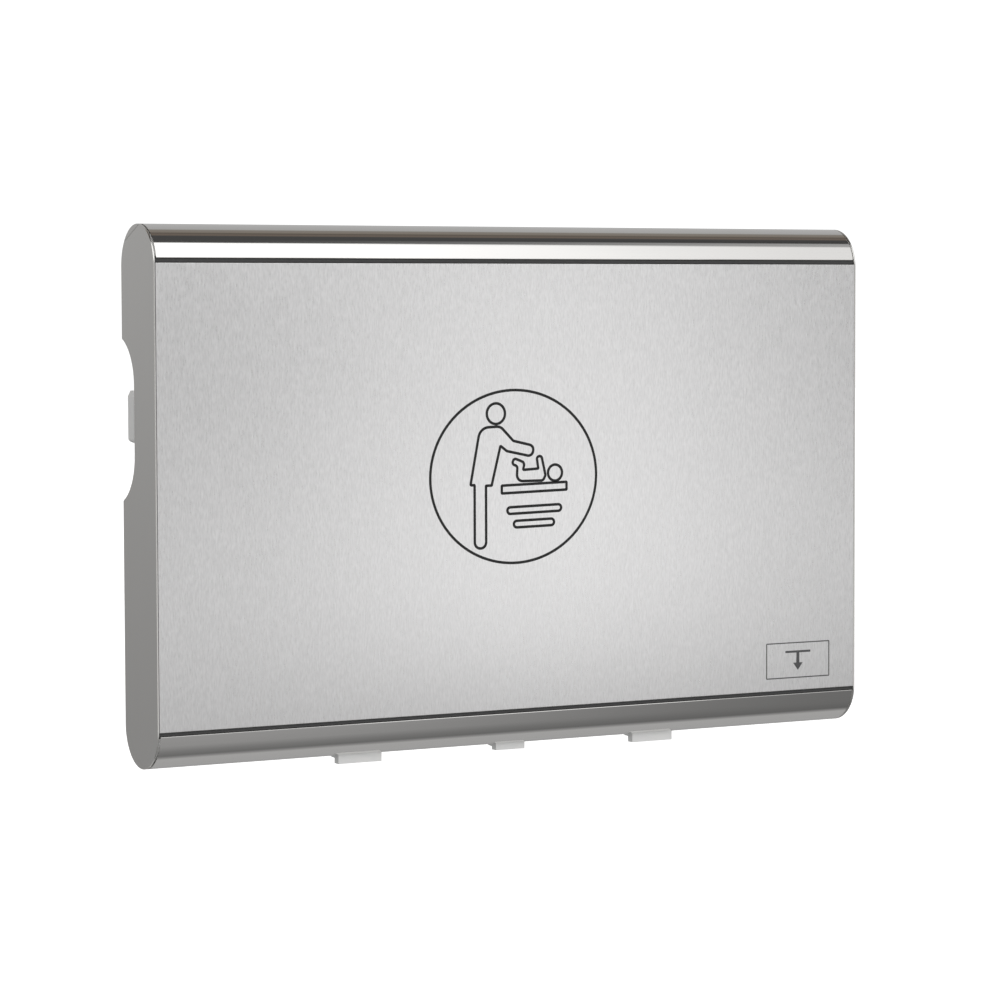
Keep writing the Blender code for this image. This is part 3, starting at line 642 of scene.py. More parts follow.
def make_front_panel(steel):
    """A sheet with its upper and lower edges folded back into the grooves."""
    face, lip = -DEPTH, -DEPTH + GROOVE_DEPTH
    low, high = GROOVE_BOTTOM[1], GROOVE_TOP[0]
    path = bent([(lip, low), (face, low), (face, high), (lip, high)], 0.0007)
    panel = prism([sheet_outline(path, -SHEET)], -SHELL_END, SHELL_END, "X")
    stand_in("front_panel", panel, steel, 0.0002, 2)


def profile_path(centre, edge, last):
    """A curved profile's outer face: from its lip in the groove round to an angle."""
    first = 180 - math.degrees(math.asin((edge - centre[1]) / ROUND))
    curve = arc(centre, ROUND, first, last, 72)
    lip = (-DEPTH + GROOVE_DEPTH, edge)
    return [lip] + round_corner(lip, curve[0], curve[1], 0.0002, 3) + curve[1:]


def make_profiles(steel, plastic):
    top = sheet_outline(profile_path(HIGH_CENTRE, GROOVE_TOP[1], 84), -PROFILE_SHEET)
    bottom = sheet_outline(profile_path(LOW_CENTRE, GROOVE_BOTTOM[0], 265), PROFILE_SHEET)
    for node, outline in (("top_profile", top), ("bottom_profile", bottom)):
        stand_in(node, prism([outline], -PROFILE_END, PROFILE_END, "X"), steel, 0.0002, 2)
    cover = arc(HIGH_CENTRE, ROUND, 82, 15, 48)
    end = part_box("rear_top_cover")[1].x
    outline = sheet_outline(cover, -0.0025)
    stand_in("rear_top_cover", prism([outline], -end, end, "X"), plastic, 0.0006)


def make_groove_shade_strips(rubber):
    # Dark rubber strips at the bottom of the grooves: their darkness is painted shade that keeps the deep
    # grooves dark.
    for node in ("top_groove_strip", "bottom_groove_strip"):
        low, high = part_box(node)
        outline = rounded(rectangle((low.y, low.z - BOTTOM), (high.y, high.z - BOTTOM)), 0.0007)
        stand_in(node, prism([outline], low.x, high.x, "X"), rubber)


# Fixings --------------------------------------------------------------------------------------------

SHANK_R = 0.0022
WASHER = 0.0005


def round_head(radius, height):
    """The outline of a low domed head, from its seat to its crown."""
    return [(0, 0), (radius, 0), (radius, 0.25 * height), (0.94 * radius, 0.55 * height),
            (0.78 * radius, 0.82 * height), (0.5 * radius, 0.96 * height), (0, height)]


def rivet(place, way, radius=0.003, height=0.0009):
    return turned(place, way, round_head(radius, height), 32)


def socket_screw(place, way, radius=0.0042, height=0.0022, shank=0.0):
    """A button-head screw with a hexagonal socket; its shank, if any, runs back from the head's seat."""
    head = turned(place, way, round_head(radius, height), 32)
    start = Vector(place) + Vector(way).normalized() * 0.35 * height
    socket = pin(start, way, 0.45 * radius, height, 6)
    made = [cut(head, [socket])]
    if shank:
        made.append(pin(place, [-c for c in way], SHANK_R, shank, 24))
    return merged(made)


def washer_screw(place, way, radius=0.0042, height=0.0022):
    """A button-head screw on its washer."""
    ring = pin(place, way, 1.35 * radius, WASHER)
    raised = Vector(place) + Vector(way).normalized() * WASHER
    return merged([ring, socket_screw(raised, way, radius, height)])


def fixings(name, meshes, material, like):
    piece(name, merged(meshes), material, like, bevel=0.00015, segments=2)


def printed(face):
    """From just proud of a face to just inside it: where printed lines lie."""
    return face - 0.00012, face + 0.0001


# Tray and strap -------------------------------------------------------------------------------------


def mouth_inset(x, z):
    """How far a point is inside the tray's rounded mouth; negative outside it."""
    over_x = abs(x) - (MOUTH_HALF - MOUTH_ROUND)
    over_z = abs(z - (MOUTH_Z[0] + MOUTH_Z[1]) / 2) - ((MOUTH_Z[1] - MOUTH_Z[0]) / 2 - MOUTH_ROUND)
    return MOUTH_ROUND - math.hypot(max(over_x, 0), max(over_z, 0)) - min(max(over_x, over_z), 0)


def tray_y(x, z):
    """The tray's inner surface: a flat rim, a smooth wall, and a floor that is a little dished."""
    run = min(max(mouth_inset(x, z) / WALL_RUN, 0), 1)
    smooth_run = run * run * (3 - 2 * run)
    dish = 0.003 * (1 + math.cos(math.pi * min(abs(x) / MOUTH_HALF, 1))) / 2
    return RIM_Y + smooth_run * (FLOOR_Y - RIM_Y - dish)


MOULDED_LINES = ((-0.0025, 0.0022, 0.0007), (0.046, 0.0024, -0.0009), (0.053, 0.0014, -0.0005))


def relief(x, z):
    """Moulded lines, each at its distance inside the mouth: a bead on the rim, two grooves on the floor."""
    inset = mouth_inset(x, z)
    return sum(height * max(0.0, 1 - ((inset - at) / half) ** 2) ** 2 for at, half, height in MOULDED_LINES)


def between(first, last, step):
    count = max(1, math.ceil((last - first) / step - 1e-6))
    return [first + (last - first) * i / count for i in range(count)]


def grid_lines(mouth, edge):
    """Grid lines from the middle out to one edge, close together where the surface bends."""
    flat = mouth - 0.0575
    rim = mouth + 0.006
    return between(0.0, flat, 0.010) + between(flat, rim, 0.0014) + between(rim, edge, 0.008) + [edge]


def tray_grid():
    """The moulding's face as rows of (x, y, height), from the apron's edge up to the top flange."""
    half = grid_lines(MOUTH_HALF, CHEEK_LOW.x - 0.0003)
    columns = [-x for x in reversed(half[1:])] + half
    middle = (MOUTH_Z[0] + MOUTH_Z[1]) / 2
    mouth = (MOUTH_Z[1] - MOUTH_Z[0]) / 2
    fold = 0.0045
    below = [middle - v for v in reversed(grid_lines(mouth, middle - TRAY_Z[0] - fold)[1:])]
    above = [middle + v for v in grid_lines(mouth, TRAY_Z[1] - middle)]
    apron = [(y, TRAY_Z[0]) for y in between(-0.078, RIM_Y - fold, 0.010)]
    apron += arc((RIM_Y - fold, TRAY_Z[0] + fold), fold, -90, -10, 6)
    rows = [[(x, y, z) for x in columns] for y, z in apron]
    return rows + [[(x, tray_y(x, z) + relief(x, z), z) for x in columns] for z in below + above]


STRAP_HALF = 0.019
STRAP = 0.0016
STRAP_LIFT = 0.0007
STRAP_SLOTS = (0.1297, 0.4893)
SLOT_HALF = 0.0025


def make_tray(plastic):
    cage = bmesh.new()
    rows = [[cage.verts.new((x, y, up(z))) for x, y, z in row] for row in tray_grid()]
    for low_row, high_row in zip(rows, rows[1:]):
        for i in range(len(low_row) - 1):
            cage.faces.new((low_row[i], high_row[i], high_row[i + 1], low_row[i + 1]))
    face = bpy.data.meshes.new("tray")
    cage.to_mesh(face)
    cage.free()
    skin = evaluated(face, [("SOLIDIFY", {"thickness": PLASTIC, "offset": -1})])
    cutters = []
    for _, sign in sides():
        corners = [(sign * TRAY_HALF, 0.040), (sign * TRAY_HALF, FLANGE_STEP), (sign * 0.45, FLANGE_STEP),
                   (sign * 0.45, 0.040)]
        cutters.append(prism([rounded(corners, [0, 0.008, 0, 0], 8)], -0.10, 0.0, "Y"))
    for slot in STRAP_SLOTS:
        outline = rounded(rectangle((-0.0215, slot - SLOT_HALF), (0.0215, slot + SLOT_HALF)), 0.0024, 6)
        cutters.append(prism([outline], -0.085, -0.060, "Y"))
    stand_in("tray", cut(skin, cutters), plastic, 0.0006, 2, 50)


BAR_Y = -0.0660
BAR_LOOP = 0.0046


def strap_path(slot, bar, way):
    """The webbing's under face: out of its slot, along the floor, round the buckle's bar and back."""
    reach = abs(bar - slot)
    floor = [(tray_y(0, slot + way * d) + STRAP_LIFT, slot + way * d)
             for d in between(0.003, reach - 0.018, 0.003)]
    corner = (tray_y(0, slot) + STRAP_LIFT, slot)
    there = bent([(corner[0] - 0.0048, slot), corner, floor[0]], 0.0016)[:-1] + floor
    there += bent([floor[-1], (floor[-1][0], bar - way * 0.016), (BAR_Y - BAR_LOOP, bar - way * 0.004),
                   (BAR_Y - BAR_LOOP, bar)], 0.010)[1:-1]
    loop = arc((BAR_Y, bar), BAR_LOOP, 180, 0 if way > 0 else 360, 16)
    top = floor[-1][0] + STRAP + 0.0002
    back = bent([loop[-1], (BAR_Y + BAR_LOOP, bar - way * 0.003), (top, bar - way * 0.019),
                 (top, bar - way * 0.050)], 0.010)[1:]
    return there + loop + back, top


def stitches(lines, height, face):
    """Raised thread ends on a face that looks towards +Y; each line is (first, last), in (x, height)."""
    length, pitch, radius = 0.0020, 0.0029, 0.00032
    cage = bmesh.new()
    for first, last in lines:
        first, last = Vector(first), Vector(last)
        way = (last - first).normalized()
        for i in range(int((last - first).length / pitch)):
            start = first + way * (i * pitch + 0.0004)
            outline = capsule(start, start + way * length, radius, 4)
            foot = [cage.verts.new((x, face, up(z))) for x, z in outline]
            top = capsule(start + way * 0.0002, start + way * (length - 0.0002), radius * 0.55, 4)
            crown = [cage.verts.new((x, face + height, up(z))) for x, z in top]
            for k in range(len(foot)):
                j = (k + 1) % len(foot)
                cage.faces.new((foot[k], foot[j], crown[j], crown[k]))
            cage.faces.new(crown)
            cage.faces.new(foot)
    return to_mesh(cage)


def make_strap(cloth, thread, steel):
    """Two lengths of webbing, each sewn back on itself at the buckle and held by an anchor plate."""
    for node, slot, bar, way in (("strap_lower", STRAP_SLOTS[0], 0.28075, 1),
                                 ("strap_upper", STRAP_SLOTS[1], 0.3240, -1)):
        path, top = strap_path(slot, bar, way)
        stand_in(node, band(path, -way * STRAP, STRAP_HALF, 9, 6), cloth)
        first, last = sorted((bar - way * 0.022, bar - way * 0.046))
        low, high = (-0.0145, first), (0.0145, last)
        box = [(low, (high[0], low[1])), ((high[0], low[1]), high), (high, (low[0], high[1])),
               ((low[0], high[1]), low), (low, high), ((low[0], high[1]), (high[0], low[1]))]
        seam = stitches(box, 0.00035, top + STRAP - 0.00012)
        piece(f"{node}_stitching", seam, thread, node)
        at = slot + way * 0.014
        plate_y = tray_y(0, at) + STRAP_LIFT + STRAP + 0.0001
        outline = rounded(rectangle((-0.027, at - 0.0055), (0.027, at + 0.0055)), 0.0030, 6)
        plate = prism([outline], plate_y, plate_y + 0.0014, "Y")
        heads = [socket_screw((x, plate_y + 0.0014, at), (0, 1, 0), 0.0030, 0.0016)
                 for x in (-0.0232, 0.0232)]
        piece(f"{node}_anchor", merged([plate] + heads), steel, "catch_striker", bevel=0.0003, segments=2)


# Low and high y of the cuts under the bar, through the slot, over the bar and at the bar's front
BAR_CUTS = ((-0.0740, -0.0682), (-0.0690, -0.0550), (-0.0638, -0.0550), (-0.0690, -0.0630))


def bar_cuts(half, heights):
    """The cuts that leave a bar for the webbing in one half of the buckle."""
    return [box_mesh((-half, ys[0], zs[0]), (half, ys[1], zs[1])) for ys, zs in zip(BAR_CUTS, heights)]


def make_buckle(plastic):
    """A side-release buckle: the tongue's prongs reach into the socket and show in its windows."""
    floor = tray_y(0, 0.3) + 0.0010
    low, high = 0.2765, 0.3100
    radii = [0.004, 0.004, 0.006, 0.006, 0.004, 0.003, 0.003, 0.004, 0.006, 0.006]
    outline = rounded([(-0.0235, low), (0.0235, low), (0.0260, 0.2850), (0.0248, 0.2950), (0.0248, 0.3040),
                       (0.0232, high), (-0.0232, high), (-0.0248, 0.3040), (-0.0248, 0.2950),
                       (-0.0260, 0.2850)], radii, 6)
    socket = prism([outline], floor, floor + 0.0130, "Y")
    gap = (-0.0693, -0.0622)
    cuts = bar_cuts(0.0205, ((0.2755, 0.2885), (0.2832, 0.2885), (0.2755, 0.2840), (0.2755, 0.2783)))
    cutters = cuts + [
        box_mesh((-0.0205, gap[0], 0.2945), (0.0205, gap[1], 0.3110)),
        box_mesh((-0.0300, gap[0], 0.2970), (-0.0190, gap[1], 0.3040)),
        box_mesh((0.0190, gap[0], 0.2970), (0.0300, gap[1], 0.3040)),
        slab((-0.0140, 0.2915), (0.0140, 0.3060), 0.004, 6, floor + 0.0124, floor + 0.02),
    ]
    stand_in("buckle_socket", cut(socket, cutters), plastic, 0.0007, 3)
    ribs = [slab((-0.0105, z), (0.0105, z + 0.0012), 0.0005, 3, floor + 0.0122, floor + 0.0131)
            for z in (0.2945, 0.2975, 0.3005, 0.3035)]
    piece("buckle_ribs", merged(ribs), plastic, "buckle_socket", bevel=0.0002)
    body = rounded([(-0.0215, 0.3104), (0.0215, 0.3104), (0.0240, 0.3150), (0.0240, 0.3250),
                    (0.0215, 0.3295), (-0.0215, 0.3295), (-0.0240, 0.3250), (-0.0240, 0.3150)], 0.003, 5)
    tongue = prism([body], floor + 0.001, floor + 0.012, "Y")
    cuts = bar_cuts(0.0195, ((0.3160, 0.3305), (0.3163, 0.3216), (0.3205, 0.3305), (0.3264, 0.3305)))
    stand_in("buckle_tongue", cut(tongue, cuts), plastic, 0.0006, 3)
    prongs = [slab((-0.0035, 0.2962), (0.0035, 0.3115), 0.001, 4, -0.0683, -0.0632)]
    for _, sign in sides():
        arm = [(0.0125, 0.3115), (0.0185, 0.3115), (0.0192, 0.3046), (0.0243, 0.3026), (0.0243, 0.2994),
               (0.0195, 0.2960), (0.0165, 0.2965), (0.0150, 0.3030)]
        prongs.append(prism([rounded([(sign * u, v) for u, v in arm], 0.0008, 4)], -0.0683, -0.0632, "Y"))
    piece("buckle_prongs", merged(prongs), plastic, "buckle_tongue", bevel=0.0004, segments=2)


# Frame of the bed and hinge -------------------------------------------------------------------------


def make_bed_frame(zinc):
    back, front = -DEPTH + SHEET + 0.0003, -0.0768
    low, high, foot, sheet = 0.290, 0.320, 0.006, 0.0015
    path = bent([(back, low), (back, low + foot), (front, low + foot), (front, high - foot),
                 (back, high - foot), (back, high)], 0.0018)
    hat = prism([sheet_outline(path, -sheet)], -0.420, 0.420, "X")
    stand_in("panel_stiffener", hat, zinc, 0.0002, 2)
    low_corner, high_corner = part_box("hinge_rail")
    rail = rounded(rectangle((low_corner.x, low_corner.y), (high_corner.x, high_corner.y)), 0.003, 6)
    cage = bmesh.new()
    draw_up(cage, [(x, y, low_corner.z) for x, y in rail], high_corner.z - low_corner.z)
    stand_in("hinge_rail", to_mesh(cage), zinc, 0.0003, 2)
    middle, under = (low_corner.y + high_corner.y) / 2, low_corner.z - BOTTOM
    heads = [rivet((sign * x, middle, under), (0, 0, -1), 0.0030, 0.0010) for _, sign in sides()
             for x in (0.072, 0.110, 0.262, 0.330, 0.405)]
    fixings("hinge_rail_rivets", heads, zinc, "hinge_rail")


def arm_outline():
    """A hinge arm: an eye on the shaft, a foot on the rail, and a pad behind the front panel."""
    foot, eye = ROUND - 0.0045, 0.011
    belly = arc(LOW_CENTRE, foot, 209, 270, 30)
    pad = [(-0.0725, AXIS[1]), (-0.0725, 0.0600), (-0.0866, 0.0600), (-0.0866, 0.0460),
           (belly[0][0], 0.0460)]
    return arc(AXIS, eye, 0, 180, 30) + pad + belly + [(AXIS[0] + eye, LOW_CENTRE[1] - foot)]


def make_hinge(zinc, brass):
    plate_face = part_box("hinge_bracket_left")[1].y
    for side, x in STATIONS.items():
        low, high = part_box(f"hinge_arm_{side}")
        arm = prism([arm_outline(), circle(AXIS, 0.0063)], low.x, high.x, "X")
        stand_in(f"hinge_arm_{side}", arm, zinc, 0.0004, 2)
        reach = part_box(f"hinge_bracket_{side}")[1].x - x
        ear = [(plate_face - 0.003, 0.056), (plate_face - 0.003, 0.078)] + arc(AXIS, 0.0125, 128, 312, 40)
        parts = []
        for sign in (-1, 1):
            first, last = sorted((x + sign * 0.012, x + sign * 0.015))
            parts.append(prism([ear, circle(AXIS, 0.0083)], first, last, "X"))
        corners = [(plate_face, 0.0334), (-0.009, 0.0334), (-0.009, 0.047), (plate_face - 0.004, 0.051),
                   (plate_face - 0.004, 0.080), (plate_face, 0.080)]
        base = rounded(corners, [0, 0.0012, 0.002, 0.002, 0.0012, 0], 5)
        parts.append(prism([base], x - reach, x + reach, "X"))
        stand_in(f"hinge_bracket_{side}", merged(parts), zinc, 0.0004, 2)
        places = [(x + sign * (reach - 0.0042), plate_face - 0.004, z)
                  for sign in (-1, 1) for z in (0.0575, 0.0735)]
        bolts = [washer_screw(place, (0, -1, 0), 0.0027, 0.0016) for place in places]
        fixings(f"hinge_bolts_{side}", bolts, zinc, f"hinge_bracket_{side}")
        for number, sign in ((1, -1), (2, 1)):
            start = (x + sign * 0.0104, *AXIS)
            outline = [(0.0063, 0.0002), (0.0065, 0), (0.0103, 0), (0.0105, 0.0002), (0.0105, 0.0011),
                       (0.0103, 0.0013), (0.0080, 0.0013), (0.0080, 0.0050), (0.0078, 0.0052),
                       (0.0063, 0.0052), (0.0063, 0.0002)]
            bush = turned(start, (sign, 0, 0), outline)
            stand_in(f"hinge_bush_{side}_{number}", bush, brass)
    shaft_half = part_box("hinge_shaft")[1].x
    outline = [(0, 0), (0.0052, 0), (0.0060, 0.0008)]
    for x in sorted(STATIONS.values()):
        for sign in (-1, 1):
            at = shaft_half + x + sign * 0.0175
            outline += [(0.0060, at - 0.0004), (0.0056, at - 0.0004), (0.0056, at + 0.0004),
                        (0.0060, at + 0.0004)]
    length = 2 * shaft_half
    outline += [(0.0060, length - 0.0008), (0.0052, length), (0, length)]
    stand_in("hinge_shaft", turned((-shaft_half, *AXIS), (1, 0, 0), outline), zinc)
    for side, sign in sides():
        low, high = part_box(f"shaft_cap_{side}")
        start = (sign * min(abs(low.x), abs(high.x)), *AXIS)
        nut = [(0, 0), (0.0088, 0), (0.0095, 0.0006), (0.0095, 0.0034), (0.0088, 0.0040), (0, 0.0040)]
        dome = [(0, 0.003), (0.0074, 0.003), (0.0074, 0.0042), (0.0068, 0.0054), (0.0050, 0.0062),
                (0.0026, 0.0065), (0, 0.0065)]
        cap = merged([turned(start, (sign, 0, 0), nut, 6), turned(start, (sign, 0, 0), dome)])
        stand_in(f"shaft_cap_{side}", cap, zinc, 0.0002, 2)


# Gas struts -----------------------------------------------------------------------------------------

STRUT_X = 0.404
STRUT_WALL = (-0.014, 0.084)
STRUT_BED = (-0.064, 0.280)
TUBE_R = 0.009
TUBE_LENGTH = 0.150
ROD_LENGTH = 0.152
EYE_R = 0.008
EYE_HALF = 0.0045


def make_struts(paint, chrome, zinc):
    way = Vector((0, STRUT_BED[0] - STRUT_WALL[0], STRUT_BED[1] - STRUT_WALL[1])).normalized()
    for side, sign in sides():
        x = sign * STRUT_X
        foot, head = Vector((x, *STRUT_WALL)), Vector((x, *STRUT_BED))
        tube_start = foot + way * (EYE_R + 0.002)
        end = TUBE_LENGTH
        shell = [(0, 0), (0.0070, 0), (0.0082, 0.0004), (TUBE_R, 0.0016), (TUBE_R, end - 0.0085),
                 (0.0082, end - 0.0078), (0.0082, end - 0.0066), (TUBE_R, end - 0.0059),
                 (TUBE_R, end - 0.0016), (0.0083, end - 0.0004), (0.0073, end), (0.0043, end),
                 (0.0043, end - 0.012), (0.0075, end - 0.012), (0.0075, 0.003), (0, 0.003)]
        stand_in(f"strut_tube_{side}", turned(tube_start, way, shell, 64), paint)
        thick = (x - EYE_HALF, x + EYE_HALF)
        eye = prism([circle(STRUT_WALL, EYE_R), circle(STRUT_WALL, 0.0043)], *thick, "X")
        nut = [(0, 0), (0.0044, 0), (0.0044, 0.0022), (0.0049, 0.0026), (0.0049, 0.0040), (0, 0.0040)]
        neck = turned(foot + way * 0.0062, way, nut, 6)
        piece(f"strut_eye_{side}", merged([eye, neck]), zinc, f"strut_tube_{side}", bevel=0.0005)
        rod_start = head - way * ROD_LENGTH
        length = ROD_LENGTH - EYE_R + 0.001
        stem = [(0, 0), (0.0070, 0), (0.0072, 0.0003), (0.0072, 0.0077), (0.0070, 0.0080), (0.0040, 0.0080),
                (0.0040, length), (0, length)]
        stand_in(f"strut_rod_{side}", turned(rod_start, way, stem, 64), chrome)
        disc = prism([circle(STRUT_BED, EYE_R)], *thick, "X")
        nut = [(0, 0), (0.0048, 0), (0.0054, 0.0006), (0.0054, 0.0090), (0.0048, 0.0110), (0, 0.0110)]
        collar = turned(rod_start + way * (length - 0.011), way, nut, 6)
        cap = turned((x - sign * EYE_HALF, *STRUT_BED), (-sign, 0, 0), round_head(0.0050, 0.0012), 40)
        piece(f"strut_head_{side}", merged([disc, collar, cap]), zinc, f"strut_rod_{side}", bevel=0.0005)
        inner = STRUT_X - EYE_HALF - 0.0003
        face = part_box(f"strut_bracket_wall_{side}")[1].y - 0.002
        bolts = [socket_screw((sign * 0.3917, face, z), (0, -1, 0), 0.0027, 0.0018)
                 for z in (0.0685, 0.0985)]
        clip = pin((sign * (STRUT_X + EYE_HALF + 0.0002), *STRUT_WALL), (sign, 0, 0), 0.0064, 0.0007, 40)
        boss = rivet((sign * (inner - 0.004), *STRUT_WALL), (-sign, 0, 0), 0.0050, 0.0016)
        fixings(f"strut_fixings_{side}", bolts + [clip, boss], zinc, f"strut_bracket_wall_{side}")
        pad = sign * (STRUT_X + EYE_HALF + 0.0003)
        head = rivet((pad, STRUT_BED[0], 0.2940), (-sign, 0, 0), 0.0030, 0.0005)
        fixings(f"strut_rivets_{side}", [head], zinc, f"strut_bracket_bed_{side}")


# Wall unit ------------------------------------------------------------------------------------------

HOUSING_FRONT = -0.020
PLATE_FACE = -0.0028


def housing_outline(inset, radius):
    low, step, high = 0.082 + inset, 0.180 + inset, 0.528 - inset
    narrow, wide = 0.386 - inset, 0.416 - inset
    corners = [(-narrow, low), (narrow, low), (narrow, step), (wide, step), (wide, high), (-wide, high),
               (-wide, step), (-narrow, step)]
    return rounded(corners, radius, 8)


def screw_places():
    return [(x, z) for x in (-0.360, 0.360) for z in (0.215, 0.500)]


def make_housing(plastic, zinc):
    """A moulded cover, hollow behind, with sunk fields, seats round its screws and a row of ribs."""
    body = prism([housing_outline(0, 0.008)], HOUSING_FRONT, PLATE_FACE, "Y")
    hollow = prism([housing_outline(0.0025, 0.005)], HOUSING_FRONT + PLASTIC, 0.002, "Y")
    wide_field = rounded(rectangle((-0.374, 0.196), (0.374, 0.316)), 0.010, 8)
    seats = [circle(place, 0.0085) for place in screw_places() if place[1] < 0.3]
    sunk = (HOUSING_FRONT - 0.002, HOUSING_FRONT + 0.0012)
    fields = [prism([wide_field] + seats, *sunk, "Y")]
    for first in (-0.374, 0.174):
        outline = rounded(rectangle((first, 0.336), (first + 0.200, 0.464)), 0.010, 8)
        holes = [rounded(rectangle((0.184, 0.344), (0.336, 0.456)), 0.008, 6)] if first > 0 else []
        fields.append(prism([outline] + holes, *sunk, "Y"))
    low_field = rounded(rectangle((-0.360, 0.098), (0.360, 0.172)), 0.010, 8)
    fields.append(prism([low_field], *sunk, "Y"))
    holes = [pin((x, HOUSING_FRONT - 0.001, z), (0, 1, 0), 0.0026, 0.010) for x, z in screw_places()]
    stand_in("wall_housing", cut(body, [hollow, merged(fields), merged(holes)]), plastic, 0.0006, 3)
    raised = (HOUSING_FRONT - 0.0003, HOUSING_FRONT + 0.0013)
    ribs = [prism([capsule((-0.352, z), (-0.196, z), 0.0016, 8)], *raised, "Y")
            for z in (0.358, 0.372, 0.386, 0.400, 0.414, 0.428, 0.442)]
    piece("housing_ribs", merged(ribs), plastic, "wall_housing", bevel=0.0003)
    for i, (x, z) in enumerate(screw_places()):
        screw = socket_screw((x, HOUSING_FRONT - 0.0002, z), (0, -1, 0), 0.0050, 0.0026, 0.012)
        stand_in(f"housing_screw_{i + 1}", screw, zinc, 0.00015, 2)


def make_hinge_cover(plastic):
    """The hood below the housing, bent round the hinge."""
    start_y, start_z, radius, sheet = HOUSING_FRONT - 0.001, 0.078, 0.026, 0.0025
    away = math.hypot(start_y - AXIS[0], start_z - AXIS[1])
    aim = math.degrees(math.atan2(start_z - AXIS[1], start_y - AXIS[0]))
    touch = aim + math.degrees(math.acos(radius / away))
    path = [(start_y, 0.0817), (start_y, start_z)] + arc(AXIS, radius, touch, 175, 40)
    hood = prism([sheet_outline(path, -sheet)], -0.366, 0.366, "X")
    stand_in("hinge_cover", hood, plastic, 0.0007, 3)


def make_plates(zinc):
    """The wall plate with pressed grooves and its six wall screws, behind the housing."""
    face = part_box("backing_plate")[0].y
    places = [(x, z) for x in (-0.330, 0.0, 0.330) for z in (0.120, 0.490)]
    plate = node_slab("backing_plate", 0.008, 8, [circle(place, 0.004) for place in places])
    beads = [prism([capsule((first, z), (last, z), 0.005, 10)], -0.0007, 0.001, "Y")
             for z in (0.175, 0.275, 0.435) for first, last in ((-0.375, -0.030), (0.030, 0.375))]
    beads.append(prism([capsule((0.0, 0.190), (0.0, 0.420), 0.005, 10)], -0.0007, 0.001, "Y"))
    stand_in("backing_plate", cut(plate, [merged(beads)]), zinc)
    fixings("wall_screws", [washer_screw((x, face, z), (0, -1, 0), 0.0068, 0.0040) for x, z in places],
            zinc, "backing_plate")


def make_liner_dispenser(plastic, paper, zinc):
    front, back = -0.040, HOUSING_FRONT - 0.0003
    low, high, half = 0.335, 0.465, 0.150
    box = slab((-half, low), (half, high), 0.007, 8, front, back)
    hollow = slab((-half + 0.0025, low + 0.0025), (half - 0.0025, high - 0.0025), 0.0045, 8, front - 0.01,
                  back - 0.0025)
    stand_in("liner_box", cut(box, [hollow]), plastic, 0.0005, 3)
    outside = rounded(rectangle((-half - 0.002, low - 0.002), (half + 0.002, high + 0.002)), 0.009, 8)
    slot = rounded(rectangle((-0.085, 0.375), (0.085, 0.405)), 0.014, 10)
    face = front - 0.0028
    cover = prism([outside, slot], face, front - 0.0003, "Y")
    edge = rounded(rectangle((-0.089, 0.371), (0.089, 0.409)), 0.018, 10)
    lip = prism([edge, slot], face - 0.0012, face + 0.0004, "Y")
    stand_in("liner_cover", cover, plastic, 0.0008, 3)
    piece("liner_lip", lip, plastic, "liner_cover", bevel=0.0005)
    lock = [(0, 0), (0.0070, 0), (0.0070, 0.0009), (0.0064, 0.0014), (0.0046, 0.0014), (0.0044, 0.0011),
            (0, 0.0011)]
    body = turned((0.122, face, 0.390), (0, -1, 0), lock)
    key = prism([capsule((0.122, 0.3878), (0.122, 0.3922), 0.0006, 6)], face - 0.002, face - 0.0005, "Y")
    piece("liner_lock", cut(body, [key]), zinc, "housing_screw_1", bevel=0.0001, segments=2)
    draw = random.Random(7)
    first, last = front + 0.005, back - 0.0035
    count = 16
    sheets = []
    for i in range(count):
        y = first + (last - first) * i / count
        shift = [draw.uniform(-0.0009, 0.0009) for _ in range(4)]
        outline = rounded(rectangle((-0.1372 + shift[0], 0.3428 + shift[1]),
                                    (0.1372 + shift[2], 0.4542 + shift[3])), 0.0006, 3)
        sheets.append(prism([outline], y, y + (last - first) / count - 0.00012, "Y"))
    stand_in("liner_stack", merged(sheets), paper)
    path = bent([(first - 0.0004, 0.424), (first - 0.0004, 0.402), (-0.0405, 0.3915), (-0.0450, 0.3890),
                 (-0.0482, 0.3790)], 0.006, 8)
    piece("liner_sheet", band(path, -0.0003, 0.074, 0, 10), paper, "liner_stack")


def make_bag_hooks(plastic):
    for side, sign in sides():
        base = abs(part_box(f"bag_hook_{side}")[0 if sign > 0 else 1].x)
        steps = [(0, 0.337), (0.0157, 0.343), (0.0157, 0.390), (0.0127, 0.396), (0.0107, 0.396),
                 (0.0107, 0.352), (0.0030, 0.348), (0.0030, 0.384), (0, 0.388)]
        radii = [0, 0.0040, 0.0015, 0.0012, 0.0008, 0.0026, 0.0020, 0.0012, 0]
        outline = rounded([(sign * (base + u), v) for u, v in steps], radii, 6)
        low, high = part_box(f"bag_hook_{side}")
        stand_in(f"bag_hook_{side}", prism([outline], low.y, high.y, "Y"), plastic, 0.0008, 3)


def make_catch(black, zinc):
    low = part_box("catch_magnet")[0]
    stand_in("catch_magnet", node_slab("catch_magnet", 0.0020, 5), black, 0.0006, 3)
    poles = [box_mesh((-0.014, low.y - 0.0003, z), (0.014, low.y + 0.001, z + 0.0016))
             for z in (0.5065, 0.5129)]
    poles += [socket_screw((x, low.y, 0.5105), (0, -1, 0), 0.0021, 0.0008) for x in (-0.0185, 0.0185)]
    fixings("catch_poles", poles, zinc, "housing_screw_1")
    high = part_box("catch_striker")[1]
    plate = node_slab("catch_striker", 0.0030, 6)
    screws = [socket_screw((x, high.y, 0.532), (0, 1, 0), 0.0028, 0.0009) for x in (-0.0165, 0.0165)]
    stand_in("catch_striker", merged([plate] + screws), zinc, 0.0002, 2)


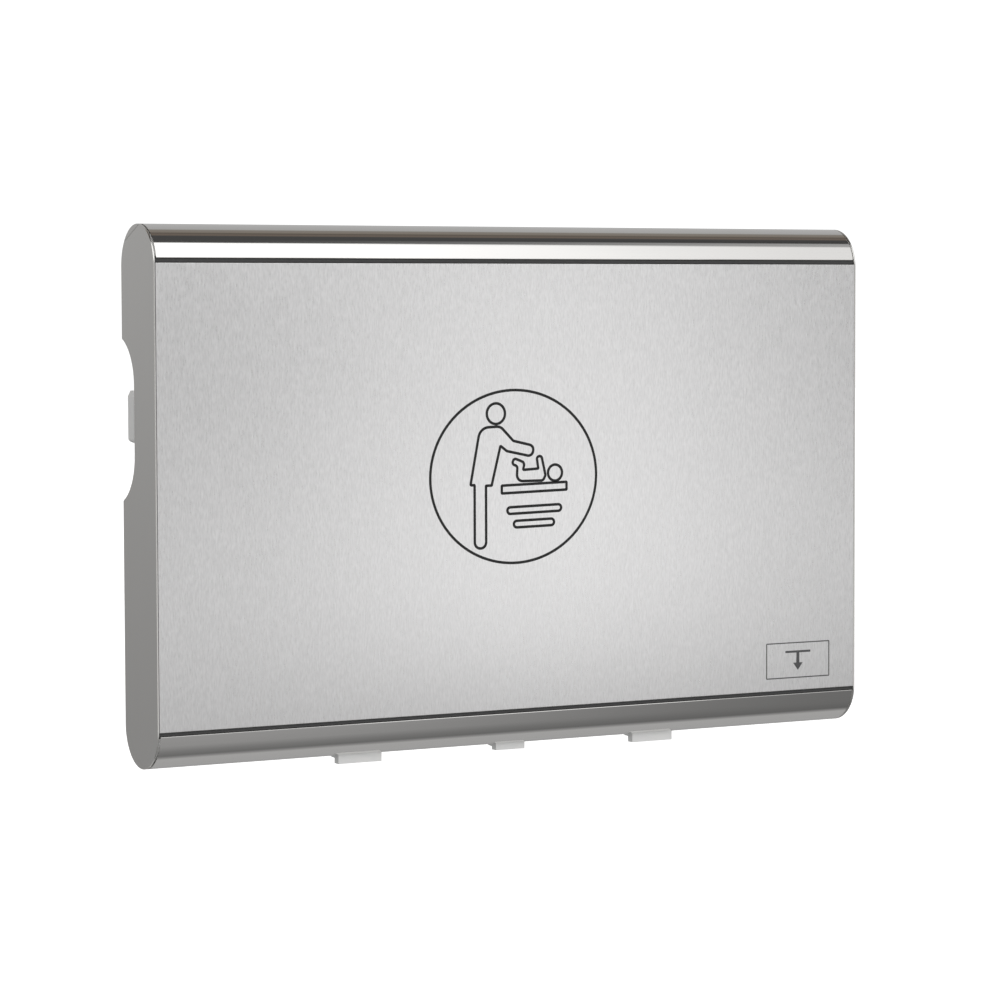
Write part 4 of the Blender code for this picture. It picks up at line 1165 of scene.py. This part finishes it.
def make_bumpers(rubber):
    for side, _ in sides():
        low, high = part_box(f"bumper_{side}")
        start = ((low.x + high.x) / 2, high.y, (low.z + high.z) / 2 - BOTTOM)
        outline = [(0, 0), (0.0080, 0), (0.0080, 0.0012), (0.0074, 0.0034), (0.0066, 0.0045),
                   (0.0052, 0.0050), (0.0030, 0.0050), (0.0024, 0.0044), (0, 0.0044)]
        stand_in(f"bumper_{side}", turned(start, (0, -1, 0), outline), rubber, 0.0002, 2)


def make_instruction_plate(plastic, black):
    """A plate with three plain signs and no words: fold the bed down, fasten the strap, fold it up."""
    low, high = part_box("instruction_plate")
    bottom, top = low.z - BOTTOM, high.z - BOTTOM
    stand_in("instruction_plate", node_slab("instruction_plate", 0.005, 8), plastic, 0.0003, 2)
    ink_y = printed(low.y)
    width = (high.x - low.x - 0.020) / 3
    lines, solids = [], []
    for i in range(3):
        first = low.x + 0.006 + i * (width + 0.004)
        border = rounded(rectangle((first, bottom + 0.018), (first + width, top - 0.018)), 0.003, 5)
        lines.append((border, True))
        middle = (first + width / 2, (top + bottom) / 2)
        way = (-1, 0, 1)[i]
        if way:
            shaft = [(-2, -8 * way), (2, -8 * way), (2, 3 * way), (6, 3 * way), (0, 11 * way),
                     (-6, 3 * way), (-2, 3 * way)]
            solids.append(prism([shifted(shaft, (middle[0] - 0.008, middle[1]))], *ink_y, "Y"))
            bed = [(3, -14), (17, -14 if way < 0 else 10)]
            lines.append((shifted(bed, (middle[0] - 0.004, middle[1])), False))
        else:
            solids.append(prism([shifted(rectangle((-16, -12), (16, -9.5)), middle)], *ink_y, "Y"))
            solids.append(prism([shifted(capsule((-3, -4), (11, -5), 3.4, 10), middle)], *ink_y, "Y"))
            lines.append((shifted(circle((-11, -2), 3.6, 32), middle), True))
            lines.append((shifted([(-1, -9), (-1, 3), (7, 3), (7, -9)], middle), False))
    drawn = [strokes_mesh(lines, 0.0011, *ink_y)] + solids
    piece("instruction_signs", merged(drawn), black, "instruction_plate")


# Symbols on the front -------------------------------------------------------------------------------

RING_MIDDLE = (-0.0133, 0.2974)
RING_SIZE = (0.1030, 0.0943)
LINE = 0.0030


def shifted(points, by=RING_MIDDLE, size=0.001):
    return [(by[0] + u * size, by[1] + v * size) for u, v in points]


def capsule(first, last, radius, steps=14):
    """An outline round a straight bar with round ends."""
    way = math.degrees(math.atan2(last[1] - first[1], last[0] - first[0]))
    return arc(last, radius, way - 90, way + 90, steps) + arc(first, radius, way + 90, way + 270, steps)


def adult():
    """An upright figure, in millimetres from the ring's middle: a body with one arm, on one column."""
    corners = [(-54, -8), (-42, 54), (-17, 55), (-1, 39), (25, 33), (22, 21.5), (-9, 28), (-17, 34),
               (-28, -9), (-35, -9), (-35, -77), (-49, -77), (-49, -8)]
    radii = [1, 13, 10, 3, 5.5, 5.5, 3, 0.8, 1, 0.8, 6.8, 6.8, 0.8]
    return rounded(corners, radii, 12)


def child():
    """A small figure on its back: body, one raised arm and two bent legs as one outline."""
    corners = [(3, -5.2), (36, -5.2), (39, 0.6), (34, 22), (28, 21), (30, 8), (11, 7), (13, 15), (0, 20),
               (-3, 14), (4, 11)]
    radii = [7, 4, 3, 3, 3, 0.8, 1, 4, 3, 3, 3]
    return rounded(corners, radii, 10)


def make_symbol(black):
    ring = [(RING_MIDDLE[0] + RING_SIZE[0] * math.cos(math.tau * i / 160),
             RING_MIDDLE[1] + RING_SIZE[1] * math.sin(math.tau * i / 160)) for i in range(160)]
    table = rounded([(-15.5, -18), (65.5, -16), (65.5, -7.5), (-15.5, -9.5)], 0.8, 3)
    figures = [circle((-22.5, 69), 11.2), adult(), circle((51, 3), 8.8), child(), table,
               capsule((-5, -37), (55, -35.5), 3.6), capsule((3, -52), (46, -51), 3.6)]
    lines = [(ring, True)] + [(shifted(points), True) for points in figures]
    mesh = strokes_mesh(lines, LINE, *printed(-DEPTH))
    piece("changing_symbol", mesh, black, "front_panel")


def make_corner_mark(grey):
    """A small outlined sign at the lower right: a bar over an arrow that points down."""
    low, high = (0.314, 0.057), (0.399, 0.097)
    middle = ((low[0] + high[0]) / 2, (low[1] + high[1]) / 2)
    frame_line = rounded(rectangle(low, high), 0.0006, 3)
    thin = strokes_mesh([(frame_line, True)], 0.0013, *printed(-DEPTH))
    arrow = [(-17, 11), (17, 11), (17, 8.5), (2, 8.5), (2, -3), (6.5, -3), (0, -11.5), (-6.5, -3), (-2, -3),
             (-2, 8.5), (-17, 8.5)]
    solid = prism([shifted(arrow, middle)], *printed(-DEPTH), "Y")
    piece("corner_mark", merged([thin, solid]), grey, "front_panel")


def make_lugs(plastic):
    for side in STATIONS:
        low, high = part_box(f"stop_lug_{side}")
        drop = low.z - BOTTOM
        outline = rounded([(-0.0510, 0.0009), (-0.0510, drop), (-0.0410, drop), (-0.0410, -0.0035),
                           (-0.0320, -0.0030), (-0.0320, 0.0009)], 0.0003, 4)
        stand_in(f"stop_lug_{side}", prism([outline], low.x, high.x, "X"), plastic, 0.0004)


# Stage ----------------------------------------------------------------------------------------------

FLOOR_DROP = 0.85
# Levels round the X axis by angle: 0 is level in front, 90 overhead, 180 level behind
BEHIND_BELOW = [(-180, 0.43), (-177, 0.385), (-172, 0.31), (-160, 0.35), (-130, 0.43), (-98, 0.46),
                (-92, 0.32)]
BEHIND_ABOVE = [(119, 0.46), (135, 0.49), (172, 0.51), (180, 0.45)]
CEILING = [(92, (0.18, 0.15, 0.125)), (98, (0.17, 0.14, 0.12)), (101, (0.12, 0.105, 0.09)),
           (105, (0.25, 0.22, 0.19)), (117, (0.28, 0.26, 0.235))]
FRONT_LEFT = [(-84, 0.18), (-68, 0.24), (-52, 0.34), (-22, 0.37), (-20, 0.68), (-7, 0.76), (2, 0.50),
              (16, 0.38), (17, 1.50), (65, 1.50), (67, 0.075), (90, 0.075)]
FRONT_RIGHT = [(-84, 0.15), (-62, 0.175), (-22, 0.18), (-20, 0.60), (-7, 0.73), (2, 0.50), (16, 0.42),
               (17, 0.92), (63, 0.92), (65, 0.44), (75, 0.44), (77, 0.055), (90, 0.075)]
# How far right a direction points where the left front turns into the right one
FRONT_CHANGE = (0.40, 0.58)


def grey(levels):
    return [(angle, (level, level, level)) for angle, level in levels]


def sky_ramp(tree, turn, front):
    """Colour by the angle round the X axis."""
    share = shader_node(tree, "MapRange", {"Value": turn, "From Min": -math.pi, "From Max": math.pi})
    ramp = shader_node(tree, "ValToRGB", {0: share.outputs[0]})
    stops = ramp.color_ramp.elements
    for i, (angle, colour) in enumerate(grey(BEHIND_BELOW + front) + CEILING + grey(BEHIND_ABOVE)):
        at = (angle + 180) / 360
        stop = stops[i] if i < 2 else stops.new(at)
        stop.position = at
        stop.color = (*colour, 1.0)
    return ramp.outputs[0]


def make_sky():
    """A studio as the steel sees it: a long soft light in front, a dark ceiling, a grey room behind."""
    world = bpy.data.worlds.new("studio")
    world.use_nodes = True
    SCENE.world = world
    tree = world.node_tree
    parts = shader_node(tree, "SeparateXYZ", {0: tree.nodes.new("ShaderNodeTexCoord").outputs["Generated"]})
    forward = math_node(tree, "MULTIPLY", parts.outputs["Y"], -1.0)
    turn = math_node(tree, "ARCTAN2", parts.outputs["Z"], forward)
    change = {"Value": parts.outputs["X"], "From Min": FRONT_CHANGE[0], "From Max": FRONT_CHANGE[1]}
    across = shader_node(tree, "MapRange", change, interpolation_type="SMOOTHSTEP")
    fronts = {6: sky_ramp(tree, turn, FRONT_LEFT), 7: sky_ramp(tree, turn, FRONT_RIGHT)}
    mix = shader_node(tree, "Mix", {"Factor": across.outputs[0]} | fronts, data_type="RGBA")
    studio = tree.nodes["Background"]
    feed(tree, studio.inputs["Color"], mix.outputs[2])
    white = shader_node(tree, "Background", {"Color": (1.0, 1.0, 1.0, 1.0), "Strength": 1.1})
    seen = tree.nodes.new("ShaderNodeLightPath").outputs["Is Camera Ray"]
    choose = shader_node(tree, "MixShader", {0: seen, 1: studio.outputs[0], 2: white.outputs[0]})
    feed(tree, tree.nodes["World Output"].inputs["Surface"], choose.outputs[0])


def make_floor():
    """A plain pale floor as far below the station as it is mounted."""
    cage = bmesh.new()
    bmesh.ops.create_grid(cage, x_segments=1, y_segments=1, size=40)
    mesh = bpy.data.meshes.new("floor")
    cage.to_mesh(mesh)
    cage.free()
    floor = add_object("floor", mesh)
    floor.location.z = BOTTOM - FLOOR_DROP
    glow = {"Emission Color": (1, 1, 1, 1), "Emission Strength": 0.75}
    mottle = [(3, 2.0, 0.02, 0.0, 0.0)]
    mesh.materials.append(surface("floor", (0.8, 0.8, 0.8), 0.8, 0.0, mottle, 0.0, glow))
    floor.visible_glossy = False
    floor.visible_diffuse = False


def area_light(name, place, aim, size, watts):
    data = bpy.data.lights.new(name, "AREA")
    data.shape = "RECTANGLE"
    data.size, data.size_y = size
    data.energy = watts
    light = add_object(name, data)
    light.location = place
    light.rotation_euler = (Vector(aim) - Vector(place)).to_track_quat("-Z", "Y").to_euler()
    return light


def make_lights():
    """An upright soft light that the front panel mirrors, and a fill that only matt faces see."""
    area_light("front_glow", (1.50, -2.75, -0.04), (0.02, -DEPTH, 0.0), (0.70, 1.85), 2.6)
    fill = area_light("matt_fill", (-0.4, -3.0, -0.6), (0.0, 0.0, 0.0), (1.6, 1.2), 16.0)
    fill.visible_glossy = False


CAMERA_PLACE = (-1.77905, -3.31411, 0.20151)
CAMERA_TURN = (86.66, -0.19, -28.45)
CAMERA_LENS = 121.6


def make_camera():
    data = bpy.data.cameras.new("camera")
    data.lens = CAMERA_LENS
    data.sensor_width = 36.0
    data.clip_end = 200.0
    camera = add_object("camera", data)
    camera.location = CAMERA_PLACE
    tilt, roll, turn = (math.radians(a) for a in CAMERA_TURN)
    camera.rotation_euler = (
        Euler((0, 0, turn)).to_matrix() @ Euler((tilt, 0, 0)).to_matrix() @ Euler((0, 0, roll)).to_matrix()
    ).to_euler()
    SCENE.camera = camera


def main():
    zinc, rubber, black = finish("zinc_steel"), finish("dark_rubber"), finish("ink")
    light_plastic = moulded("light_plastic", (0.80, 0.80, 0.79), 0.48)
    black_plastic = moulded("black_plastic", (0.020, 0.020, 0.022), 0.40)
    make_sides(finish("plate_steel"), light_plastic)
    make_front_panel(finish("panel_steel"))
    make_profiles(finish("profile_steel"), light_plastic)
    make_groove_shade_strips(rubber)
    make_symbol(black)
    make_corner_mark(finish("grey_ink"))
    make_lugs(light_plastic)
    make_tray(light_plastic)
    make_strap(webbing(), finish("thread"), zinc)
    make_buckle(black_plastic)
    make_bed_frame(zinc)
    make_hinge(zinc, finish("bronze"))
    make_struts(finish("black_paint"), finish("chrome_rod"), zinc)
    make_housing(light_plastic, zinc)
    make_hinge_cover(light_plastic)
    make_plates(zinc)
    make_liner_dispenser(light_plastic, finish("paper"), zinc)
    make_bag_hooks(light_plastic)
    make_catch(black_plastic, zinc)
    make_bumpers(rubber)
    make_instruction_plate(light_plastic, black)
    for side, _ in sides():
        keep(f"strut_bracket_wall_{side}", zinc)
        keep(f"strut_bracket_bed_{side}", zinc)
    make_sky()
    make_lights()
    make_floor()
    make_camera()
    SCENE.view_settings.view_transform = "Standard"


main()
